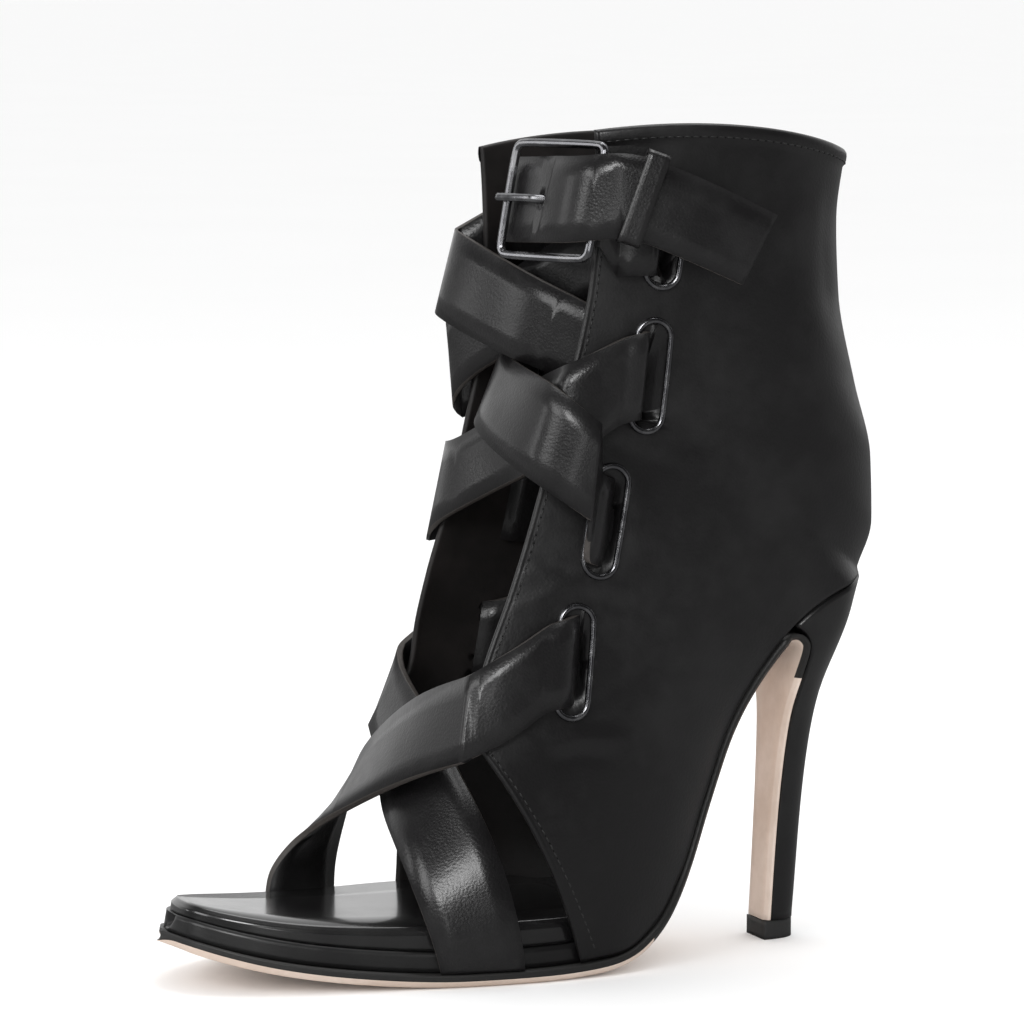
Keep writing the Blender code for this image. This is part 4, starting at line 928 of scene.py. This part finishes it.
@dataclass
class Stitching:
    """Rows of thread, each stitch a small rounded capsule that dips into the leather at its ends, with a flat
    near-black disc of painted shade at each needle hole between stitches.
    """

    finishes: Finishes
    pitch: float = 2.5 * MM
    length: float = 1.7 * MM
    radius: float = 0.24 * MM
    hole_shade_radius: float = 0.36 * MM

    def add_row(self, bm: bmesh.types.BMesh, points: Sequence[Vector], normals: Sequence[Vector]) -> None:
        """Adds the stitches of one row.

        Args:
            bm: the mesh to add to.
            points: the row's points on the leather.
            normals: the way off the leather at each point.
        """
        lengths = [0.0]
        for before, after in zip(points, points[1:]):
            lengths.append(lengths[-1] + (after - before).length)
        count = int(lengths[-1] / self.pitch)
        spot = 0
        for k in range(count):
            goal = (k + 0.5) * lengths[-1] / count
            while lengths[spot + 1] < goal:
                spot += 1
            share = (goal - lengths[spot]) / (lengths[spot + 1] - lengths[spot])
            point = points[spot].lerp(points[spot + 1], share)
            off = normals[spot].lerp(normals[spot + 1], share).normalized()
            run = (points[spot + 1] - points[spot]).normalized()
            side = off.cross(run).normalized()
            turn = Matrix((run, side, off)).transposed().to_4x4()
            scale = Matrix.Diagonal((self.length / 2, self.radius, self.radius, 1.0))
            place = Matrix.Translation(point + off * 0.04 * MM) @ turn @ scale
            bmesh.ops.create_uvsphere(bm, u_segments=8, v_segments=5, radius=1.0, matrix=place)
            # A flat near-black disc between stitches is painted shade for the needle hole; the leather is not cut.
            scale = Matrix.Diagonal((self.hole_shade_radius, self.hole_shade_radius, 0.1 * MM, 1.0))
            hole_shade_place = point + run * (self.pitch / 2) - off * 0.02 * MM
            hole_shade = bmesh.ops.create_uvsphere(bm, u_segments=8, v_segments=4, radius=1.0,
                                             matrix=Matrix.Translation(hole_shade_place) @ turn @ scale)
            for face in {face for vert in hole_shade["verts"] for face in vert.link_faces}:
                face.material_index = 1

    def build(self, name: str, rows: Sequence[tuple[list[Vector], list[Vector]]]) -> bpy.types.Object:
        """Makes one piece of several rows of stitches."""
        bm = bmesh.new()
        for points, normals in rows:
            self.add_row(bm, points, normals)
        return finish_piece(name, bm, (self.finishes.thread, self.finishes.hole_shade), Slot.LEATHER, (), 180.0)


@dataclass
class QuarterStitches:
    """The stitch rows of the quarters: along the front edges and round the collar."""

    stitching: Stitching
    form: LastForm
    upper: Upper
    binding_stitch: float = 3.7 * MM

    def edge_row(self, side: Side) -> tuple[list[Vector], list[Vector]]:
        """The row inside a quarter's lower and front edge."""
        low = self.upper.stitch_place / (11.5 * MM)
        stops = [(low, 0.97 - 0.93 * i / 60) for i in range(61)]
        last = len(self.form.rows) - 1.0
        top = last - (self.upper.binding_height + MM) / (6.4 * MM)
        corner = low * 1.1
        for i in range(160):
            row = corner + (top - corner) * i / 159
            stops.append((row, self.form.edge_share(side, row, self.upper.stitch_place)))
        return self.read(side, stops, 0.08 * MM)

    def collar_row(self, side: Side) -> tuple[list[Vector], list[Vector]]:
        """The row on the collar's binding."""
        top = len(self.form.rows) - 1.0
        stops = []
        for i in range(81):
            share = 0.02 + 0.98 * i / 80
            high, low = (self.form.row_points(side, row, [share])[0] for row in (top, top - 0.1))
            stops.append((top - 0.1 * self.binding_stitch / (high - low).length, share))
        return self.read(side, stops, -self.upper.binding_step - 0.15 * MM)

    def read(self, side: Side, stops: Sequence[tuple[float, float]],
             depth: float) -> tuple[list[Vector], list[Vector]]:
        """Points and normals at rows and shares of a quarter."""
        points, normals = [], []
        for row, share in stops:
            normal = self.form.normal_at(side, row, share)
            points.append(self.form.row_points(side, row, [share])[0] - normal * depth)
            normals.append(normal)
        return points, normals

    def build(self) -> bpy.types.Object:
        """Makes all rows as one piece."""
        rows = [self.edge_row(side) for side in Side] + [self.collar_row(side) for side in Side]
        return self.stitching.build("quarter_stitches", rows)


@dataclass
class FinePiece:
    """A frame node made finer: merged, made of four-sided faces, creased at its edges and subdivided."""

    node: str
    levels: int = 2
    crease: float = 0.8
    crease_angle: float = 38.0
    unevenness: float = 0.0
    uneven_size: float = 9.0 * MM
    toe_place: float = -1.0
    ironing: int = 0
    ironed_step: float = 2.5 * MM

    def mesh(self) -> bmesh.types.BMesh:
        """The merged copy of the node's mesh, with its edges' creases."""
        bm = bmesh.new()
        bm.from_mesh(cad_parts[self.node].data)
        bmesh.ops.remove_doubles(bm, verts=bm.verts, dist=0.005 * MM)
        bmesh.ops.dissolve_degenerate(bm, edges=bm.edges, dist=0.01 * MM)
        bmesh.ops.join_triangles(
            bm, faces=bm.faces, cmp_seam=False, cmp_sharp=False, cmp_uvs=False, cmp_vcols=False,
            cmp_materials=False, angle_face_threshold=math.radians(30.0),
            angle_shape_threshold=math.radians(60.0))
        layer = bm.edges.layers.float.new("crease_edge")
        for edge in bm.edges:
            run = edge.verts[1].co - edge.verts[0].co
            toe = max(vert.co.y for vert in edge.verts) < self.toe_place
            if toe and abs(run.z) > 0.7 * run.length:
                continue
            if len(edge.link_faces) == 2 and edge.calc_face_angle(0.0) > math.radians(self.crease_angle):
                edge[layer] = self.crease
        for _ in range(self.ironing):
            self.iron(bm)
        return bm

    def iron(self, bm: bmesh.types.BMesh) -> None:
        """Moves each point of a strap's long edges halfway to the middle of its two neighbours there.

        Points at tight turns and at the strap's ends stay where they are.

        Args:
            bm: the strap's mesh.
        """
        places = {}
        for vert in bm.verts:
            sharp = [edge for edge in vert.link_edges
                     if len(edge.link_faces) == 2 and edge.calc_face_angle(0.0) > math.radians(self.crease_angle)]
            if len(sharp) == 2 and min(edge.calc_length() for edge in sharp) > self.ironed_step:
                before, after = (edge.other_vert(vert).co for edge in sharp)
                share = (vert.co - before).length / ((vert.co - before).length + (after - vert.co).length)
                places[vert] = vert.co.lerp(before.lerp(after, share), 0.5)
        for vert, place in places.items():
            vert.co = place

    def build(self, name: str, materials: Sequence[bpy.types.Material], slot: Slot,
              paint: Callable[[bmesh.types.BMFace], int] | None = None) -> bpy.types.Object:
        """Makes the finer piece.

        Args:
            name: the piece's name.
            materials: its materials.
            slot: the record's slot.
            paint: gives each face's material index; the first material if left out.

        Returns:
            The new object.
        """
        bm = self.mesh()
        bm.normal_update()
        if paint is not None:
            for face in bm.faces:
                face.material_index = paint(face)
        made = finish_piece(name, bm, materials, slot, (self.node,), 180.0)
        finer = made.modifiers.new("finer", "SUBSURF")
        finer.levels = self.levels
        finer.render_levels = self.levels
        finer.use_limit_surface = False
        if self.unevenness:
            clouds = bpy.data.textures.new(f"{name}_clouds", "CLOUDS")
            clouds.noise_scale = self.uneven_size
            clouds.noise_depth = 1
            uneven = made.modifiers.new("uneven", "DISPLACE")
            uneven.texture = clouds
            uneven.texture_coords = "LOCAL"
            uneven.strength = self.unevenness
            uneven.mid_level = 0.5
        return made


@dataclass
class Straps:
    """The four laced straps."""

    finishes: Finishes
    thickness: float = 2.0 * MM
    nodes: tuple[str, ...] = ("strap_inner_root", "strap_outer_root", "strap_buckle_base", "strap_loose_end")

    def build(self) -> list[bpy.types.Object]:
        """Makes each strap finer and gives it its glossy leather."""
        made = []
        for node in self.nodes:
            fine = FinePiece(node, unevenness=0.07 * MM, uneven_size=11 * MM, crease=0.7, crease_angle=50.0,
                             ironing=4)
            leathers = (self.finishes.strap, self.finishes.raw_edge)
            made.append(fine.build(f"{node}_leather", leathers, Slot.LEATHER, self.edge_paint))
        return made

    def edge_paint(self, face: bmesh.types.BMFace) -> int:
        """The second material for a face that lies across the strap's thickness."""
        sharp = [edge for edge in face.edges if edge.calc_face_angle(0.0) > math.radians(50.0)]
        for first in sharp:
            for second in sharp:
                if set(first.verts) & set(second.verts):
                    continue
                middles = [(edge.verts[0].co + edge.verts[1].co) / 2 for edge in (first, second)]
                if first is not second and (middles[0] - middles[1]).length < self.thickness * 1.4:
                    return 1
        return 0


@dataclass
class SoleParts:
    """Outsole with its breast, platform, footbed, heel and top piece."""

    finishes: Finishes
    form: LastForm
    breast_place: float = 94.5 * MM
    breast_height: float = 82 * MM
    tip_place: float = -80 * MM
    tip_height: float = 13.6 * MM
    arch_place: float = 50 * MM
    toe_place: float = -70 * MM

    def outsole_paint(self, face: bmesh.types.BMFace) -> int:
        """The black edge gets the second material and the rest stays natural."""
        middle = face.calc_center_median()
        across = abs(face.normal.x)
        if middle.y > self.breast_place:
            bend = middle.z > self.breast_height
            return 1 if bend and (across > 0.5 or face.normal.y > 0.3 or face.normal.z > 0.45) else 0
        if middle.y < self.tip_place:
            return 1 if middle.z > self.tip_height else 0
        upward = face.normal.dot(self.form.sole_up(middle.y))
        return 1 if upward > -0.45 or middle.y > self.arch_place and across > 0.5 else 0

    def build(self) -> list[bpy.types.Object]:
        """Makes the five pieces."""
        cover, footbed = self.finishes.cover, self.finishes.footbed
        outsole = FinePiece("outsole", crease=0.85, crease_angle=30.0, toe_place=self.toe_place)
        platform = FinePiece("platform_rand", crease=0.85, toe_place=self.toe_place)
        return [
            outsole.build("outsole_leather", (self.finishes.sole, self.finishes.edge), Slot.SOLE, self.outsole_paint),
            platform.build("platform_cover", (cover,), Slot.LEATHER),
            FinePiece("footbed", crease=0.6, crease_angle=25.0).build("footbed_cover", (footbed,), Slot.LEATHER),
            FinePiece("heel", crease=0.9, crease_angle=48.0).build("heel_cover", (cover,), Slot.LEATHER),
            FinePiece("heel_top_piece", crease=0.9).build("heel_tip", (self.finishes.rubber,), Slot.RUBBER),
        ]


@dataclass
class Hardware:
    """The slot rims, the buckle and its keeper."""

    finishes: Finishes
    rims: dict[Side, list[Rim]]

    def build(self) -> list[bpy.types.Object]:
        """Makes the rims round and gives buckle and keeper their finish."""
        made = []
        metal = (self.finishes.metal,)
        for side in Side:
            for rim in self.rims[side]:
                fine = FinePiece(rim.node, crease=0.0, crease_angle=170.0)
                made.append(fine.build(f"{rim.node}_metal", metal, Slot.METAL))
        frame_piece = FinePiece("buckle_frame", crease=0.75, crease_angle=35.0)
        made.append(frame_piece.build("buckle_frame_metal", metal, Slot.METAL))
        made.append(FinePiece("buckle_prong", crease=0.5).build("buckle_prong_metal", metal, Slot.METAL))
        keeper = FinePiece("keeper", crease=0.7, crease_angle=45.0)
        made.append(keeper.build("keeper_leather", (self.finishes.strap,), Slot.LEATHER))
        return made


@dataclass
class Studio:
    """A plain pale floor, soft light and the photograph's camera."""

    azimuth: float = 67.0
    distance: float = 1.3
    eye: float = 0.28
    focal_pixels: float = 4550.0
    picture: float = 1024.0
    middle_x: float = 541.4718
    horizon: float = -15.1166
    target: tuple[float, float] = (0.003, 0.03)
    fill: float = 1.06
    backdrop: float = 0.9
    front_room: float = 0.04
    box_distance: float = 1.5
    mirrored_floor: tuple[float, float, float] = (0.16, 0.16, 0.16)

    def camera(self) -> None:
        """Sets the camera at the photograph's angle."""
        turn = math.radians(self.azimuth)
        back = Vector((math.sin(turn), -math.cos(turn), 0.0))
        right = Vector((math.cos(turn), math.sin(turn), 0.0))
        pitch = math.atan((self.picture / 2 - self.horizon) / self.focal_pixels)
        ahead = -back * math.cos(pitch) + Vector((0.0, 0.0, -math.sin(pitch)))
        place = Vector((*self.target, self.eye)) + back * self.distance
        place -= right * (self.middle_x - self.picture / 2) / self.focal_pixels * self.distance
        data = bpy.data.cameras.new("camera")
        data.sensor_width = 36.0
        data.lens = self.focal_pixels / self.picture * data.sensor_width
        data.clip_start = 0.05
        camera = bpy.data.objects.new("camera", data)
        camera.matrix_world = Matrix.Translation(place) @ Matrix((right, right.cross(ahead), -ahead)).transposed().to_4x4()
        bpy.context.scene.collection.objects.link(camera)
        bpy.context.scene.camera = camera

    def light(self, name: str, place: Vector, size: tuple[float, float], watts: float,
              mirrored_only: bool = False) -> None:
        """Adds a soft rectangular light that faces the boot.

        Args:
            name: the light's name.
            place: where it stands.
            size: its width and height.
            watts: its power.
            mirrored_only: whether it shows in glossy reflections alone.
        """
        data = bpy.data.lights.new(name, "AREA")
        data.shape = "RECTANGLE"
        data.size, data.size_y = size
        data.energy = watts
        lamp = bpy.data.objects.new(name, data)
        lamp.location = place
        lamp.rotation_euler = (Vector((0.0, 0.03, 0.11)) - place).to_track_quat("-Z", "Y").to_euler()
        lamp.visible_diffuse = not mirrored_only
        bpy.context.scene.collection.objects.link(lamp)

    def softbox(self, name: str, azimuth: float, height: float, size: tuple[float, float], glow: float) -> None:
        """Adds a light that the leather mirrors, at an azimuth and a height above the boot's middle.

        Args:
            name: the light's name.
            azimuth: degrees from the toe's side towards the shoe's outer side.
            height: degrees over the boot's middle.
            size: its width and height.
            glow: its radiance.
        """
        turn, lift = math.radians(azimuth), math.radians(height)
        flat = self.box_distance * math.cos(lift)
        place = Vector((flat * math.sin(turn), -flat * math.cos(turn), 0.1 + self.box_distance * math.sin(lift)))
        self.light(name, place, size, glow * math.pi * size[0] * size[1], True)

    def floor(self) -> None:
        """Lays the pale floor; glossy rays see it dark grey, a painted dim reflection of the floor in the leather."""
        bm = bmesh.new()
        bmesh.ops.create_grid(bm, x_segments=1, y_segments=1, size=80.0)
        mesh = bpy.data.meshes.new("floor")
        bm.to_mesh(mesh)
        bm.free()
        made, shader = start_material("pale_floor")
        fine = texture(made.node_tree, "ShaderNodeTexNoise", 3.0)
        tree = made.node_tree
        color = mixed_color(tree, fine.outputs["Fac"], (0.93, 0.93, 0.93), (0.95, 0.95, 0.95))
        # Glossy rays get mirrored_floor instead of the pale colour: a painted darker reflection of the floor.
        path = tree.nodes.new("ShaderNodeLightPath")
        mirrored = mixed_color(tree, path.outputs["Is Glossy Ray"], (0.0, 0.0, 0.0), self.mirrored_floor)
        tree.links.new(color, mirrored.node.inputs[6])
        tree.links.new(mirrored, shader.inputs["Base Color"])
        shader.inputs["Roughness"].default_value = 0.9
        mesh.materials.append(made)
        floor = bpy.data.objects.new("floor", mesh)
        bpy.context.scene.collection.objects.link(floor)
        floor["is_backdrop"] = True

    def world(self) -> None:
        """A white surround: bright behind the boot, dim in what the leather mirrors from the front."""
        world = bpy.data.worlds.new("white_surround")
        world.use_nodes = True
        tree = world.node_tree
        background = tree.nodes["Background"]
        background.inputs["Color"].default_value = (1.0, 1.0, 1.0, 1.0)
        place = tree.nodes.new("ShaderNodeTexCoord")
        ahead = tree.nodes.new("ShaderNodeVectorMath")
        ahead.operation = "DOT_PRODUCT"
        turn = math.radians(self.azimuth)
        ahead.inputs[1].default_value = (-math.sin(turn), math.cos(turn), 0.0)
        tree.links.new(place.outputs["Generated"], ahead.inputs[0])
        behind = maths(tree, "MULTIPLY_ADD", ahead.outputs["Value"], 1.6, -0.1)
        behind = maths(tree, "MINIMUM", maths(tree, "MAXIMUM", behind, 0.0), 1.0)
        mirrored = maths(tree, "MULTIPLY_ADD", behind, self.backdrop, self.front_room)
        path = tree.nodes.new("ShaderNodeLightPath")
        glossy = path.outputs["Is Glossy Ray"]
        plain = maths(tree, "MULTIPLY_ADD", path.outputs["Is Camera Ray"], 1.0 - self.fill, self.fill)
        mirror_part = maths(tree, "MULTIPLY", glossy, mirrored)
        plain_part = maths(tree, "MULTIPLY", maths(tree, "SUBTRACT", 1.0, glossy), plain)
        tree.links.new(maths(tree, "ADD", mirror_part, plain_part), background.inputs["Strength"])
        bpy.context.scene.world = world
        bpy.context.scene.view_settings.view_transform = "Standard"

    def build(self) -> None:
        """Sets camera, floor, surround and lights."""
        self.camera()
        self.floor()
        self.world()
        self.light("key", Vector((0.45, -1.35, 0.85)), (0.7, 0.9), 8.0)
        self.light("top", Vector((-0.2, 0.3, 1.5)), (0.9, 0.9), 7.0)
        self.softbox("instep_box", 60.0, 30.0, (0.5, 0.45), 13.0)
        self.softbox("side_strip", 71.0, 3.0, (0.16, 0.3), 4.0)
        self.softbox("front_box", -22.0, 13.0, (0.3, 0.4), 3.0)


def main() -> None:
    """Builds the boot's looks and the studio round it."""
    logging.basicConfig(level=logging.INFO, format="%(name)s: %(message)s")
    finishes = Finishes()
    form = LastForm()
    rims = {
        Side.LATERAL: [Rim(f"slot_rim_lateral_{i}") for i in range(1, 5)],
        Side.MEDIAL: [Rim(f"slot_rim_medial_{i}") for i in range(1, 5)],
    }
    upper = Upper(finishes, form)
    upper.build(rims)
    QuarterStitches(Stitching(finishes), form, upper).build()
    Straps(finishes).build()
    SoleParts(finishes, form).build()
    Hardware(finishes, rims).build()
    Studio().build()
    bpy.context.view_layer.update()
    boxes = [[list(corner) for corner in box] for box in (CAD_BOX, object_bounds())]


if __name__ == "__main__":
    main()
